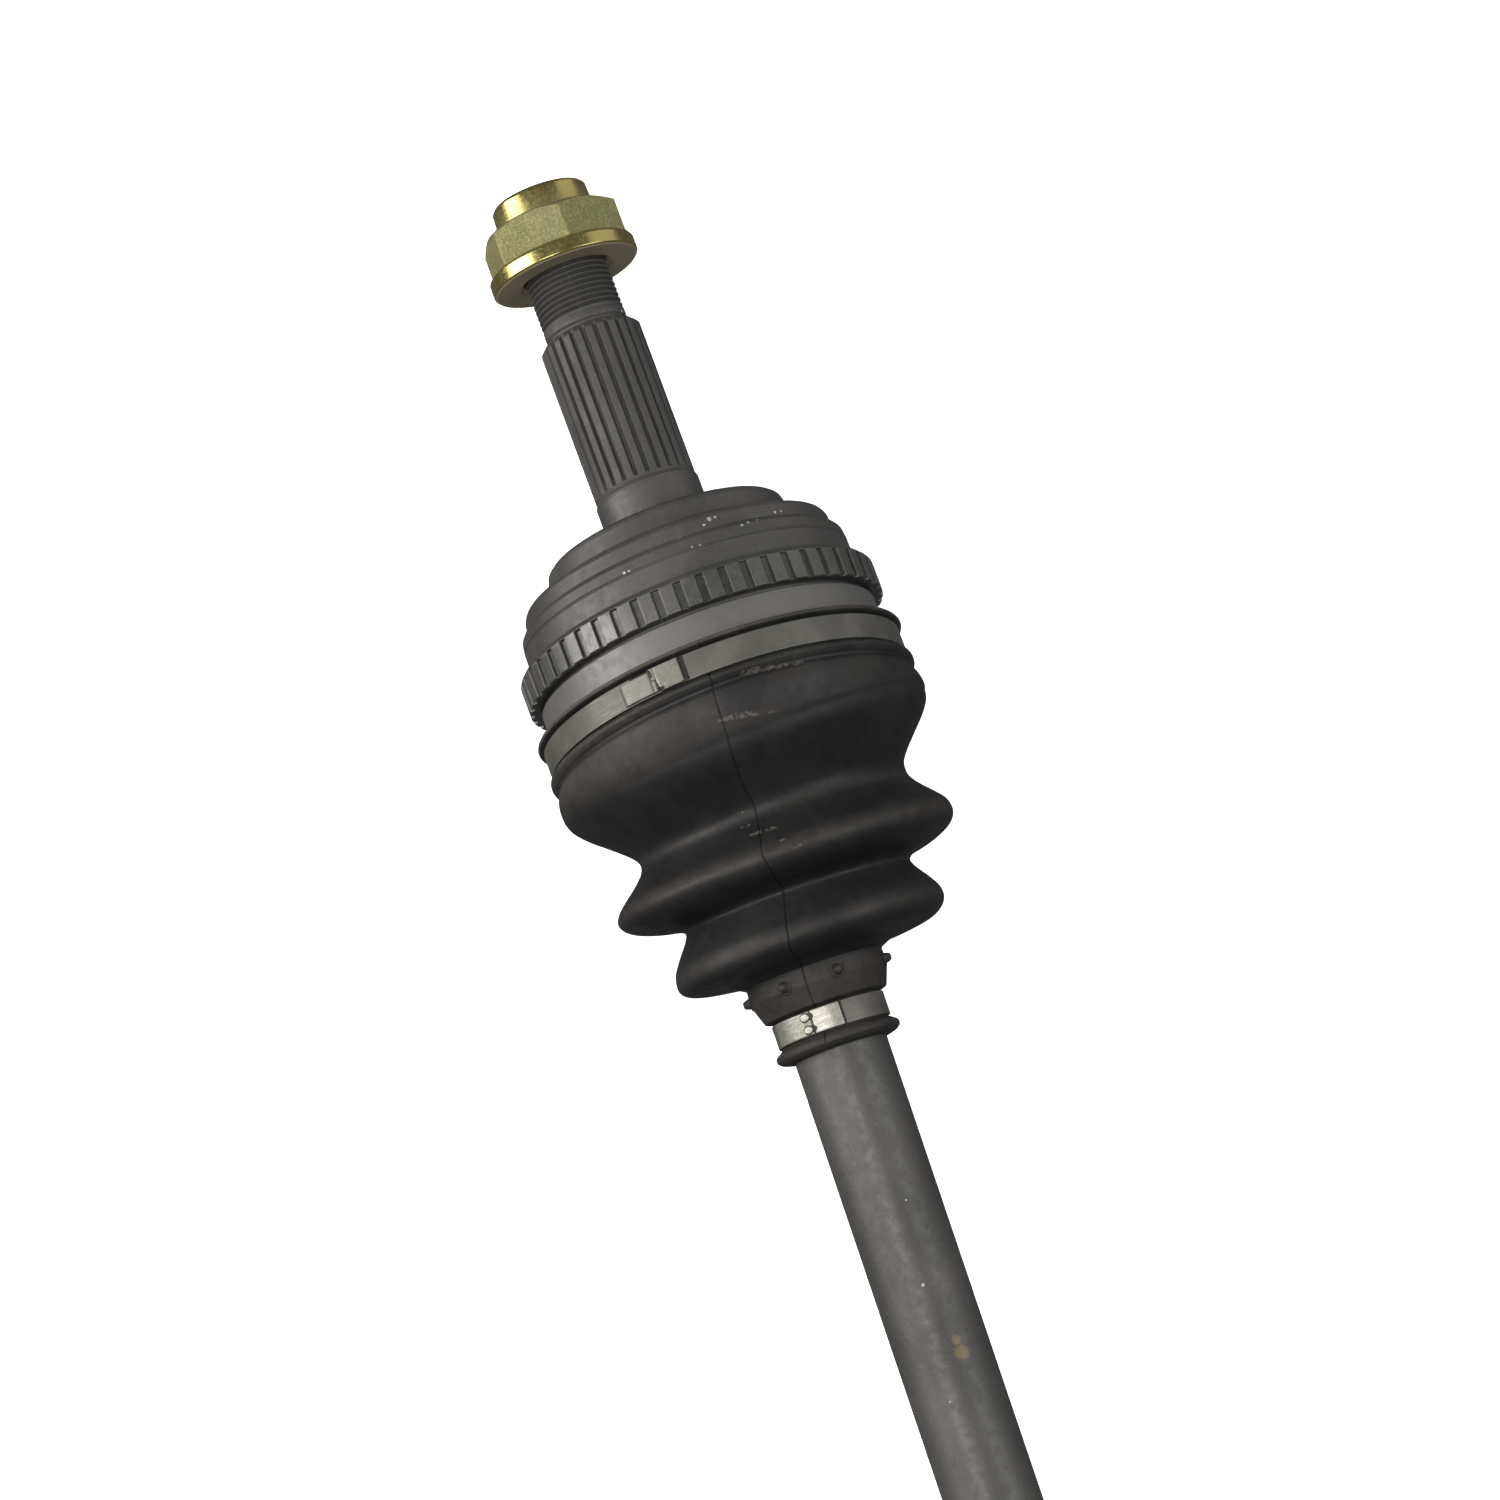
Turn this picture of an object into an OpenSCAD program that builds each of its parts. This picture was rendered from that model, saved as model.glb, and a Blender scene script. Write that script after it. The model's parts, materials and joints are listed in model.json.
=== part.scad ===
// Constant-velocity axle shaft: a fixed ball joint with a splined wheel
// spindle at one end, a solid bar, and a plunging tripod joint at the other.
// It lies along X on the plane Z = 0, with the wheel end at -X. The wheel
// joint droops, so that its nut end hangs a little below the bar's line.

/* [Layout] */
// Distance between the two joint centres
joint_span = 350; // [330:1:420]
// Droop of the wheel joint against the bar, in degrees
droop = 10; // [6:0.5:12]

/* [Wheel spindle] */
// Radius of the spindle thread
thread_r = 11; // [10.5:0.1:11.2]
// Pitch of the spindle thread
thread_pitch = 1.5; // [1:0.25:2]
// Outside radius of the wheel spline
spline_r = 13.5; // [13:0.1:13.8]
// Number of teeth on the wheel spline
spline_teeth = 26; // [22:1:30]
// Radius of the plain collar behind the spline
collar_r = 13.9; // [13.8:0.05:14.2]

/* [Spindle nut] */
// Width across the flats of the nut
nut_af = 33.4; // [32:0.1:34]
// Radius of the nut's flange
nut_flange_r = 19.7; // [19:0.1:20]
// Radius of the nut's staking collar
nut_collar_r = 12.8; // [12.4:0.1:13.2]

/* [Fixed joint] */
// Outside radius of the bell under the toothed ring
bell_r = 44.3; // [43:0.1:44.6]
// Radius of the seat for the large end of the boot
boot_seat_r = 45.0; // [44.5:0.1:45.2]
// Radius of the balls
ball_r = 7.94; // [7:0.02:8]
// Pitch radius of the balls about the joint centre
ball_pitch_r = 31.2; // [30.8:0.1:31.4]
// Radius of the sphere that the cage turns in
cage_r = 34.6; // [34:0.1:34.8]
// Wall of the cage
cage_t = 4.8; // [4.4:0.1:5]
// Half width of the cage along its axis
cage_half_w = 12.3; // [11.5:0.1:12.6]
// Oversize of the ball tracks, for the sideways float of the balls
track_play = 1.45; // [1.2:0.05:1.5]

/* [Toothed ring] */
// Outside radius of the toothed ring
ring_r = 48.2; // [47.6:0.1:48.6]
// Number of teeth on the ring
ring_teeth = 50; // [44:1:54]
// Depth of the gaps between the teeth
ring_gap_d = 1.0; // [0.6:0.1:1.2]

/* [Bar] */
// Radius of the bar
bar_r = 12.4; // [12:0.1:12.6]
// Radius of the bar's splined ends
bar_end_r = 11; // [10.8:0.1:11.2]

/* [Boots] */
// Wall of the boots
boot_t = 2.4; // [2:0.1:2.8]
// Crest radius of the wheel boot's first fold
fold_1_r = 49.5; // [48.6:0.1:49.5]
// Crest radius of the wheel boot's second fold
fold_2_r = 45.6; // [44:0.1:46]
// Crest radius of the wheel boot's third fold
fold_3_r = 36.4; // [35:0.1:37]

/* [Plunging joint] */
// Pitch radius of the tripod's rollers
trunnion_pitch_r = 26; // [25.6:0.1:26.4]
// Radius of the trunnions
trunnion_r = 9.5; // [9.2:0.1:9.5]
// Radius of the rollers
roller_r = 15.8; // [15.6:0.1:16]
// Width of the rollers
roller_w = 10; // [9:0.5:10]
// Radius of the roller tracks
track_r = 17.3; // [17.1:0.1:17.4]
// Radius of the seal journal on the gearbox stub
journal_r = 17; // [16.5:0.1:17.5]
// Outside radius of the gearbox spline
stub_spline_r = 13.3; // [13:0.1:13.6]
// Number of teeth on the gearbox spline
stub_teeth = 28; // [24:1:32]

/* [Hidden] */
$fn = 96;

// Stations along the wheel joint's axis, from its centre; the nut end is negative
ring_x0 = -12.8;
ring_x1 = -3.7;
mouth_x = 16;
nut_top = 135.0;
stub_end = 128;

// Height of the bar's axis, at which the toothed ring just touches the ground
axis_h = ring_r * cos(droop) - ring_x0 * sin(droop);
// Length on each side of the origin is the same
x_low = -(nut_top * cos(droop) + (nut_collar_r - 0.8) * sin(droop));
x_high = joint_span + stub_end;
x_shift = -(x_low + x_high) / 2;

// Colours
c_steel = [0.36, 0.35, 0.34];
c_dark = [0.30, 0.30, 0.29];
c_zinc = [0.72, 0.66, 0.36];
c_rubber = [0.12, 0.12, 0.12];
c_clamp = [0.52, 0.50, 0.45];
c_bright = [0.75, 0.75, 0.76];

// Placing: each piece is drawn about its own axis, which is local Z, and is
// laid along X. Local X then points down and local Y stays Y.
module along_x() { rotate([0, 90, 0]) children(); }
module bar_frame() { translate([x_shift, 0, axis_h]) along_x() children(); }
module wheel_frame() { translate([x_shift, 0, axis_h]) rotate([0, -droop, 0]) along_x() children(); }
module cage_frame() { translate([x_shift, 0, axis_h]) rotate([0, -droop / 2, 0]) along_x() children(); }
module gear_frame() { translate([x_shift + joint_span, 0, axis_h]) along_x() children(); }

// Revolved solid from points [station, radius]
module turned(pts) { rotate_extrude() polygon([for (p = pts) [p[1], p[0]]]); }

// Ring with a square section, open over a gap
module split_ring(r0, r1, z0, z1, gap = 30, start = 0)
  rotate([0, 0, start + gap / 2])
    rotate_extrude(angle = 360 - gap) translate([r0, z0]) square([r1 - r0, z1 - z0]);

// Smooth line through points, with n steps in each span
function cr(a, b, c, d, t) =
  0.5 * ((2 * b) + (c - a) * t + (2 * a - 5 * b + 4 * c - d) * t * t
         + (3 * b - a - 3 * c + d) * t * t * t);
function smooth(p, n = 3) = [
  for (i = [0:len(p) - 2]) for (k = [0:n - 1])
    cr(p[max(i - 1, 0)], p[i], p[i + 1], p[min(i + 2, len(p) - 1)], k / n),
  p[len(p) - 1]
];
// Closed wall between an outline and the same outline moved in by t
function wall(p, t) = concat(p, [for (i = [len(p) - 1:-1:0]) [p[i][0], p[i][1] - t]]);

// Section of a splined shaft: a disc with tapered gaps
module spline_section(r, teeth, depth, top, bottom)
  difference() {
    circle(r = r);
    for (i = [0:teeth - 1]) rotate(i * 360 / teeth)
      polygon([[r - depth, -bottom / 2], [r + 1, -top / 2 - 0.3],
               [r + 1, top / 2 + 0.3], [r - depth, bottom / 2]]);
  }

module splined(r, teeth, z0, z1, depth = 1.2, c0 = 0, c1 = 0)
  intersection() {
    translate([0, 0, z0]) linear_extrude(height = z1 - z0)
      spline_section(r, teeth, depth, 2.4 * r / teeth, 1.7 * r / teeth);
    turned([[z0, 0], [z0, r - c0], [z0 + c0, r + 0.001], [z1 - c1, r + 0.001], [z1, r - c1], [z1, 0]]);
  }

// ---------------------------------------------------------------- wheel end

// Flanged nut with a thin collar that is staked into the spindle
module spindle_nut()
  color(c_zinc) wheel_frame() {
    hex_r = nut_af / 2 / cos(30);
    difference() {
      union() {
        turned([[-117.2, 0], [-117.2, nut_flange_r - 0.9], [-116.5, nut_flange_r],
                [-113.0, nut_flange_r], [-112.4, nut_flange_r - 0.7], [-112.4, 0]]);
        intersection() {
          translate([0, 0, -127.9]) linear_extrude(height = 11)
            rotate(-3.4) circle(r = hex_r, $fn = 6);
          turned([[-129, 0], [-127.9, nut_af / 2 - 0.6], [-125.9, hex_r + 0.1],
                  [-116.5, hex_r + 0.1], [-116.5, 0]]);
        }
        turned([[-nut_top, 0], [-nut_top, nut_collar_r - 0.8], [-nut_top + 0.8, nut_collar_r],
                [-128.6, nut_collar_r], [-127.0, nut_collar_r + 1.4], [-127.0, 0]]);
      }
      translate([0, 0, -nut_top - 1]) cylinder(r = thread_r + 0.05, h = 30);
      // countersink on the bearing face and a relief inside the collar
      turned([[-113.4, thread_r], [-112.0, thread_r + 1.6], [-112.0, 0], [-113.4, 0]]);
      turned([[-nut_top - 1, 0], [-nut_top - 1, thread_r + 0.6], [-129.5, thread_r + 0.6], [-128.9, thread_r], [-128.9, 0]]);
    }
  }

thread_z0 = -133.2;
thread_z1 = -99.4;
thread_n = floor((thread_z1 - thread_z0 - 1.6) / thread_pitch);
thread_d = 0.61 * thread_pitch;

module outer_joint_housing()
  color(c_steel) wheel_frame()
    difference() {
      union() {
        // spindle thread, as a row of grooves
        turned(concat(
          [[thread_z0, 0], [thread_z0, thread_r - 1.3], [thread_z0 + 1.2, thread_r]],
          [for (i = [0:thread_n - 1]) for (k = [0:2])
            let (z = thread_z0 + 1.6 + i * thread_pitch)
            [z + [0.0, 0.5, 0.9][k] * thread_pitch, thread_r - [0, thread_d, 0][k]]],
          [[thread_z1 + 0.1, thread_r], [-96.9, thread_r], [-96.6, 10.3], [-95.7, 10.3], [-95.5, 0]]));
        turned([[-96, 0], [-96, 10.3], [-95.6, 11.7], [-94.6, 12.2], [-50.9, 12.2], [-50.9, 0]]);
        splined(spline_r, spline_teeth, -95.4, -51.4, 1.25, 1.7, 0);
        // run-out, plain collar, shoulder for the hub, and the stepped bell
        turned([[-52.4, 0], [-52.4, 12.4], [-49.8, collar_r], [-39.8, collar_r],
                [-39.8, 20.6], [-37.2, 31.0], [-36.4, 32.0], [-35.4, 32.3],
                [-31.2, 32.8], [-29.4, 33.6], [-28.9, 35.0], [-28.7, 39.9], [-28.2, 41.0],
                [-27.2, 41.5], [-23.8, 41.8], [-23.3, 42.2], [-23.1, 43.2], [-22.2, 43.9],
                [-19.7, bell_r - 0.1], [-19.3, bell_r - 0.3], [-18.9, bell_r - 0.1],
                [ring_x0 - 0.8, bell_r], [ring_x0 - 0.4, bell_r + 0.3], [ring_x1, bell_r + 0.3],
                [ring_x1, 44.0], [-2.9, 44.0], [-2.6, 45.4], [4.7, 45.4], [5.0, boot_seat_r],
                [mouth_x - 1, boot_seat_r], [mouth_x, boot_seat_r - 1], [mouth_x, 0]]);
      }
      // spherical seat for the cage, with a flared mouth
      sphere(r = cage_r + 0.3);
      turned([[0, 0], [0, 32.0], [mouth_x - 0.2, 32.0], [mouth_x + 1, 33.4], [mouth_x + 1, 0]]);
      // ball tracks
      for (i = [0:5]) rotate([0, 0, 90 + 60 * i]) rotate([90, 0, 0]) rotate([0, 0, -38])
        rotate_extrude(angle = 100) translate([ball_pitch_r, 0]) circle(r = ball_r + track_play);
      // centre drilling and the slot for staking the nut
      turned([[thread_z0 - 1, 0], [thread_z0 - 1, 3.6], [thread_z0 + 2.4, 1.6], [thread_z0 + 6, 1.6], [thread_z0 + 7, 0]]);
      rotate([0, 0, 199]) translate([thread_r - 2, -2.2, thread_z0 - 1]) cube([4, 4.4, 9]);
    }

module tone_ring()
  color(c_dark) wheel_frame()
    difference() {
      union() {
        // closed edge on the nut side, and the toothed part behind it
        turned([[ring_x0, 0], [ring_x0, ring_r - ring_gap_d - 0.2], [ring_x0 + 1.0, ring_r - 0.1],
                [ring_x0 + 1.4, ring_r], [ring_x0 + 1.7, ring_r], [ring_x0 + 1.7, 0]]);
        translate([0, 0, ring_x0 + 1.6]) linear_extrude(height = ring_x1 - ring_x0 - 1.6)
          difference() {
            circle(r = ring_r);
            for (i = [0:ring_teeth - 1]) rotate((i + 0.5) * 360 / ring_teeth)
              polygon([[ring_r - ring_gap_d, -0.97], [ring_r + 1, -1.35], [ring_r + 1, 1.35], [ring_r - ring_gap_d, 0.97]]);
          }
      }
      translate([0, 0, ring_x0 - 1]) cylinder(r = bell_r + 0.32, h = 12);
      turned([[ring_x0 - 1, 0], [ring_x0 - 1, bell_r + 1.4], [ring_x0 + 0.1, bell_r + 0.3], [ring_x0 + 0.1, 0]]);
    }

module inner_race()
  color(c_bright) bar_frame()
    difference() {
      intersection() {
        sphere(r = cage_r - cage_t - 0.3);
        translate([0, 0, -12.4]) cylinder(r = 40, h = 24.8);
      }
      translate([0, 0, -14]) cylinder(r = bar_end_r + 0.02, h = 28);
      for (i = [0:5]) rotate([0, 0, 90 + 60 * i]) rotate([90, 0, 0]) rotate([0, 0, -42])
        rotate_extrude(angle = 84) translate([ball_pitch_r, 0]) circle(r = ball_r + track_play);
    }

module race_circlip() color(c_dark) bar_frame() split_ring(10.2, 12.6, -13.9, -12.5, 34, 20);

module ball_cage()
  color(c_bright) cage_frame()
    difference() {
      intersection() {
        sphere(r = cage_r);
        translate([0, 0, -cage_half_w]) cylinder(r = 40, h = 2 * cage_half_w);
      }
      sphere(r = cage_r - cage_t);
      for (i = [0:5]) rotate([0, 0, 90 + 60 * i])
        translate([20, -9.2, -ball_r - 0.06]) cube([30, 18.4, 2 * ball_r + 0.12]);
    }

module joint_ball(az) color(c_bright) cage_frame()
  rotate([0, 0, az]) translate([ball_pitch_r, 0, 0]) sphere(r = ball_r);
module cage_balls() for (az = [30, 150, 210, 330]) joint_ball(az);
module pivot_ball_left() joint_ball(90);
module pivot_ball_right() joint_ball(270);

// Boot clamp: a thin band with a folded block from a0 to a1, and the other
// end of the band hooked into it from there to a2
module boot_clamp(r, t, z0, z1, a0, a1, a2, lift)
  color(c_clamp) {
    difference() {
      translate([0, 0, z0]) cylinder(r = r + t, h = z1 - z0);
      translate([0, 0, z0 - 1]) cylinder(r = r, h = z1 - z0 + 2);
    }
    rotate([0, 0, a0]) rotate_extrude(angle = a1 - a0)
      translate([r + t - 0.01, z0 + 0.1]) square([lift + 0.01, z1 - z0 - 0.2]);
    rotate([0, 0, a1 - 0.2]) rotate_extrude(angle = a2 - a1 + 0.2)
      translate([r + t - 0.01, z0 + 0.5]) square([0.85 * lift, z1 - z0 - 0.9]);
  }

// Wheel boot: the large end follows the bell, the folds follow the bar
module outer_boot() {
  r_wrap = 54;
  color(c_rubber) {
    wheel_frame() turned([
      [5.2, boot_seat_r + 0.05], [5.2, 48.7], [5.5, 49.4], [6.0, 49.7], [6.5, 49.4], [6.9, 48.5], [7.3, 47.6],
      [14.5, 47.6], [14.9, 48.9], [15.6, 49.6], [16.5, 49.6], [17.3, 49.0], [17.9, 48.4], [18.6, 48.3], [19.6, 48.8],
      for (x = [22:3:34]) [x, sqrt(r_wrap * r_wrap - x * x)],
      for (x = [34:-3:19]) [x, sqrt(pow(r_wrap - boot_t, 2) - x * x)],
      [16.3, 47.4], [16.3, boot_seat_r + 0.05]]);
    bar_frame() turned(concat(
      smooth([[24.4, fold_1_r - 0.1], [25.6, fold_1_r], [30.5, 46.0], [36.8, 39.4], [40.2, 36.8], [42.4, 36.2],
              [45.6, 37.6], [50.0, 42.6], [52.6, 45.0], [54.6, fold_2_r], [57.0, 45.0], [59.0, 42.6],
              [60.6, 38.0], [61.6, 33.0], [62.8, 30.6], [65.0, 31.4], [69.4, 34.2], [72.4, 36.0],
              [74.6, fold_3_r], [76.8, 35.8], [78.6, 33.6], [79.8, 28.0], [80.6, 21.0], [82.0, 17.8]], 2),
      [[84.2, 17.4], [84.8, 18.6], [87.0, 18.7], [89.0, 17.4], [92.2, 16.4], [92.8, 14.3],
       [99.6, 14.3], [100.1, 15.1], [101.0, 16.5], [101.6, 16.8], [102.4, 16.4], [103.2, 14.9], [103.9, bar_r + 0.03],
       [83.0, bar_r + 0.03]],
      [for (p = [[80.0, 15.4], [78.2, 19.5], [77.2, 27.6], [75.4, 33.0], [74.0, 33.6], [70.6, 32.4], [63.8, 28.4],
                 [60.4, 28.6], [58.6, 34.2], [56.6, 41.0], [54.2, 43.0], [51.0, 40.4], [46.0, 35.2],
                 [42.4, 33.8], [39.0, 34.4], [35.4, 37.6], [29.4, 43.4], [24.4, 46.9]]) p]));
    // small locating pips round the neck
    bar_frame() for (az = [49.3, 109.3, 171.3, 217.3, 277.3, 337.3]) rotate([0, 0, az])
      translate([17.0, 0, 85.4]) rotate([0, 90, 0]) cylinder(r = 1.3, h = 2.6);
  }
}

module outer_boot_large_clamp() wheel_frame() boot_clamp(47.65, 0.85, 7.5, 14.3, 198.5, 208, 219, 1.1);
module outer_boot_small_clamp() bar_frame() boot_clamp(14.35, 0.75, 93.1, 99.3, 177.4, 206, 257, 0.7);

// ----------------------------------------------------------------- the bar

module axle_bar()
  color(c_steel) {
    bar_frame() difference() {
      union() {
        splined(bar_end_r, 26, -16.5, 15, 0.9, 1, 0);
        turned([[12.4, 0], [12.4, bar_end_r - 0.9], [16.5, bar_end_r - 0.4], [22, bar_end_r],
                [34, bar_r], [joint_span - 60, bar_r], [joint_span - 44, 10.6],
                [joint_span - 18, 10.6], [joint_span - 15, 10.0], [joint_span - 10, 10.0], [joint_span - 10, 0]]);
        splined(bar_end_r, 26, joint_span - 15.5, joint_span + 15, 0.9, 0.6, 1);
      }
      turned([[-13.95, 10.15], [-13.95, 14], [-12.45, 14], [-12.45, 10.15]]);
      turned([[joint_span - 12.5, 10.15], [joint_span - 12.5, 14], [joint_span - 11, 14], [joint_span - 11, 10.15]]);
      turned([[joint_span + 11, 10.15], [joint_span + 11, 14], [joint_span + 12.5, 14], [joint_span + 12.5, 10.15]]);
    }
  }

// ------------------------------------------------------------- gearbox end

top = 180;
left = 60;
right = 300;

module on_trunnion(az) rotate([0, 0, az]) rotate([0, 90, 0]) children();

module tripod_spider()
  color(c_bright) gear_frame()
    difference() {
      union() {
        turned([[-11, 0], [-11, 16], [-9.6, 17.4], [9.6, 17.4], [11, 16], [11, 0]]);
        for (az = [top, left, right]) on_trunnion(az) difference() {
          union() {
            cylinder(r = trunnion_r, h = 33);
            cylinder(r = 10.9, h = 19.6);
          }
          turned([[31.45, trunnion_r - 0.9], [31.45, 12], [32.35, 12], [32.35, trunnion_r - 0.9]]);
        }
      }
      translate([0, 0, -14]) cylinder(r = bar_end_r + 0.02, h = 28);
    }

module spider_circlips() color(c_dark) gear_frame() {
  split_ring(10.2, 13.0, -12.45, -11.05, 34, 90);
  split_ring(10.2, 13.0, 11.05, 12.45, 34, 270);
}

module roller(az)
  color(c_bright) gear_frame() on_trunnion(az) translate([0, 0, trunnion_pitch_r])
    difference() {
      intersection() {
        sphere(r = roller_r);
        translate([0, 0, -roller_w / 2]) cylinder(r = 20, h = roller_w);
      }
      translate([0, 0, -10]) cylinder(r = trunnion_r + 2.62, h = 20);
    }
module roller_top() roller(top);
module roller_left() roller(left);
module roller_right() roller(right);

module needles(az)
  color(c_dark) gear_frame() on_trunnion(az) for (i = [0:23]) rotate([0, 0, 15 * i])
    translate([trunnion_r + 1.3, 0, trunnion_pitch_r - 4.6]) cylinder(r = 1.23, h = 9.2, $fn = 24);
module needles_top() needles(top);
module needles_left() needles(left);
module needles_right() needles(right);

module roller_retainers() color(c_dark) gear_frame()
  for (az = [top, left, right]) on_trunnion(az) split_ring(trunnion_r - 0.85, 13.4, 31.5, 32.3, 30, 40);

// Housing of the plunging joint: three lobed tracks, a rim with three flats, a stub
module inner_joint_housing()
  color(c_steel) gear_frame()
    difference() {
      union() {
        turned([[-20, 0], [-20, 43], [-19, 44], [-2.6, 44], [-2.6, 46.4], [36, 46.4], [39.5, 45.4], [42.5, 43.0],
                [46.5, 37.6], [49.6, 30.0], [51.4, 23.5], [54, 22.6], [54, journal_r], [78, journal_r], [79, 16.0],
                [79.4, 12.4], [83, 12.4], [83, 0]]);
        // rim, flat between the lobes
        intersection() {
          turned([[-2.4, 0], [-2.4, 49.4], [-1.2, 50.6], [7.8, 50.6], [9.2, 49.2], [9.2, 0]]);
          intersection_for (az = [0, 120, 240]) rotate([0, 0, az])
            translate([axis_h - 200, -100, -10]) cube([200, 200, 30]);
        }
        splined(stub_spline_r, stub_teeth, 82, stub_end - 4, 1.1, 0.8, 1.2);
        turned([[120, 0], [120, 12.0], [stub_end - 1.4, 12.0], [stub_end, 10.4], [stub_end, 0]]);
      }
      // tracks and the space for the spider's hub
      intersection() {
        translate([0, 0, -21]) union() {
          for (az = [top, left, right]) rotate([0, 0, az]) translate([trunnion_pitch_r, 0, 0]) cylinder(r = track_r, h = 63);
          cylinder(r = 25.5, h = 63);
        }
        translate([0, 0, -22]) cylinder(r = 37.3, h = 70);
      }
      turned([[-21, 0], [-21, 28.5], [-20, 27.5], [-17.5, 25], [-17.5, 0]]);
      // shallow hollows behind the rim, between the lobes
      for (az = [0, 120, 240]) rotate([0, 0, az]) translate([58.5, 0, 9.3]) cylinder(r = 17, h = 40);
      // groove for the stub's ring, and the centre drilling
      turned([[118.2, 12.0], [118.2, 16], [120.2, 16], [120.2, 12.0]]);
      turned([[stub_end + 1, 0], [stub_end + 1, 3.6], [stub_end - 2.4, 1.6], [stub_end - 6, 1.6], [stub_end - 7, 0]]);
    }

module stub_circlip() color(c_dark) gear_frame()
  rotate([0, 0, 15]) rotate_extrude(angle = 330) translate([13.05, 119.2]) circle(r = 0.95);

// Gearbox boot
module inner_boot()
  color(c_rubber) gear_frame() turned(concat(
    [[-3.0, 44.05], [-3.0, 47.6], [-3.6, 48.6], [-5.2, 48.7], [-6.2, 46.7], [-13.6, 46.7], [-14.4, 48.4], [-16.2, 48.8], [-18.0, 47.6]],
    smooth([[-19.6, 47.2], [-22.4, 48.6], [-25.2, 47.4], [-29.2, 40.6], [-32.6, 35.2], [-35.4, 34.0], [-38.6, 36.2],
            [-42.4, 42.0], [-44.8, 43.6], [-47.4, 42.0], [-51.2, 35.0], [-54.0, 30.6], [-56.4, 29.8], [-59.4, 32.0],
            [-63.0, 37.2], [-65.2, 38.6], [-67.6, 37.2], [-71.2, 30.6], [-73.8, 26.6], [-76.0, 25.8], [-78.8, 27.6],
            [-82.0, 31.6], [-84.2, 32.8], [-86.4, 31.2], [-88.8, 24.6], [-91.0, 18.6]], 2),
    [[-93.4, 17.0], [-99.6, 16.4], [-100.2, 14.3], [-107.0, 14.3], [-107.6, 15.6], [-108.8, 16.7], [-110.8, 16.7], [-112, 15.6], [-112.2, bar_r + 0.03],
     [-92.0, bar_r + 0.03]],
    [for (p = [[-89.2, 15.4], [-87.2, 21.0], [-85.2, 28.6], [-84.0, 30.0], [-82.6, 28.6], [-78.6, 24.6], [-76.0, 23.2],
               [-72.6, 24.2], [-69.2, 29.4], [-66.4, 35.2], [-65.0, 36.0], [-63.6, 34.6], [-60.0, 29.4], [-56.4, 27.2],
               [-52.8, 28.4], [-49.2, 33.8], [-46.2, 40.0], [-44.6, 41.0], [-43.2, 39.6], [-39.2, 33.6], [-35.4, 31.4],
               [-31.4, 32.8], [-27.2, 38.8], [-23.4, 45.4], [-20.2, 45.0], [-20.2, 44.05]]) p]));

module inner_boot_large_clamp() gear_frame() boot_clamp(46.75, 0.85, -13.5, -6.3, 198.5, 208, 219, 1.1);
module inner_boot_small_clamp() gear_frame() boot_clamp(14.35, 0.75, -106.8, -100.4, 177.4, 206, 257, 0.7);

spindle_nut();
outer_joint_housing();
tone_ring();
inner_race();
race_circlip();
ball_cage();
cage_balls();
pivot_ball_left();
pivot_ball_right();
outer_boot();
outer_boot_large_clamp();
outer_boot_small_clamp();
axle_bar();
tripod_spider();
spider_circlips();
roller_top();
roller_left();
roller_right();
needles_top();
needles_left();
needles_right();
roller_retainers();
inner_boot();
inner_boot_large_clamp();
inner_boot_small_clamp();
inner_joint_housing();
stub_circlip();
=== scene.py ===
import json
import math

import bpy
import numpy as np
from mathutils import Matrix, Vector
from mathutils.bvhtree import BVHTree


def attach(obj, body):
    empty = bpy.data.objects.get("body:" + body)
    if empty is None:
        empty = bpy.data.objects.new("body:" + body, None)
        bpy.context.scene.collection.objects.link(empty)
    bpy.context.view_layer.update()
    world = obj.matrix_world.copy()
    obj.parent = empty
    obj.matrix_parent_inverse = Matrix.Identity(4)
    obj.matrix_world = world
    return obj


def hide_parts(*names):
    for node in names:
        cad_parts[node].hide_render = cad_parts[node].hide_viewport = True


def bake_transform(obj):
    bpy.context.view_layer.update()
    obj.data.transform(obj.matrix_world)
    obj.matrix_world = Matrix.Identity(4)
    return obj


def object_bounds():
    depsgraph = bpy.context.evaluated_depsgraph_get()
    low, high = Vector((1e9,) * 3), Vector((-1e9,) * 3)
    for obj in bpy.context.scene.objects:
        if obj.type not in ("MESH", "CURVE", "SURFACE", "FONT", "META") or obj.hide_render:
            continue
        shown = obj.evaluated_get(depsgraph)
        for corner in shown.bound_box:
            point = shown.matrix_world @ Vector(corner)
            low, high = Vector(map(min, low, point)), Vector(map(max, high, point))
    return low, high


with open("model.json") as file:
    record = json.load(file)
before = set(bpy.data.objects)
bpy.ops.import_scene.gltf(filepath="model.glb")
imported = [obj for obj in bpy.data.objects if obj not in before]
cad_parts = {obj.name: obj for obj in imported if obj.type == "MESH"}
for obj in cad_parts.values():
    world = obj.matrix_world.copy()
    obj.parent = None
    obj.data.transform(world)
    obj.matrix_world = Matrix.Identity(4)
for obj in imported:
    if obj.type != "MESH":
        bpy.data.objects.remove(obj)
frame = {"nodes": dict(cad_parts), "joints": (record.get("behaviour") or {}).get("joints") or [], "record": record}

cad_lo, cad_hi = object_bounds()
MM = 0.001
rng = np.random.RandomState(7)

# ------------------------------------------------------------------ frames
joints = {j["name"]: j for j in frame["joints"]}
O = np.array(joints["wheel_steer"]["pos_m"], float)
I = np.array(joints["gearbox_yaw"]["pos_m"], float)
DROOP = math.radians(10)


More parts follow.
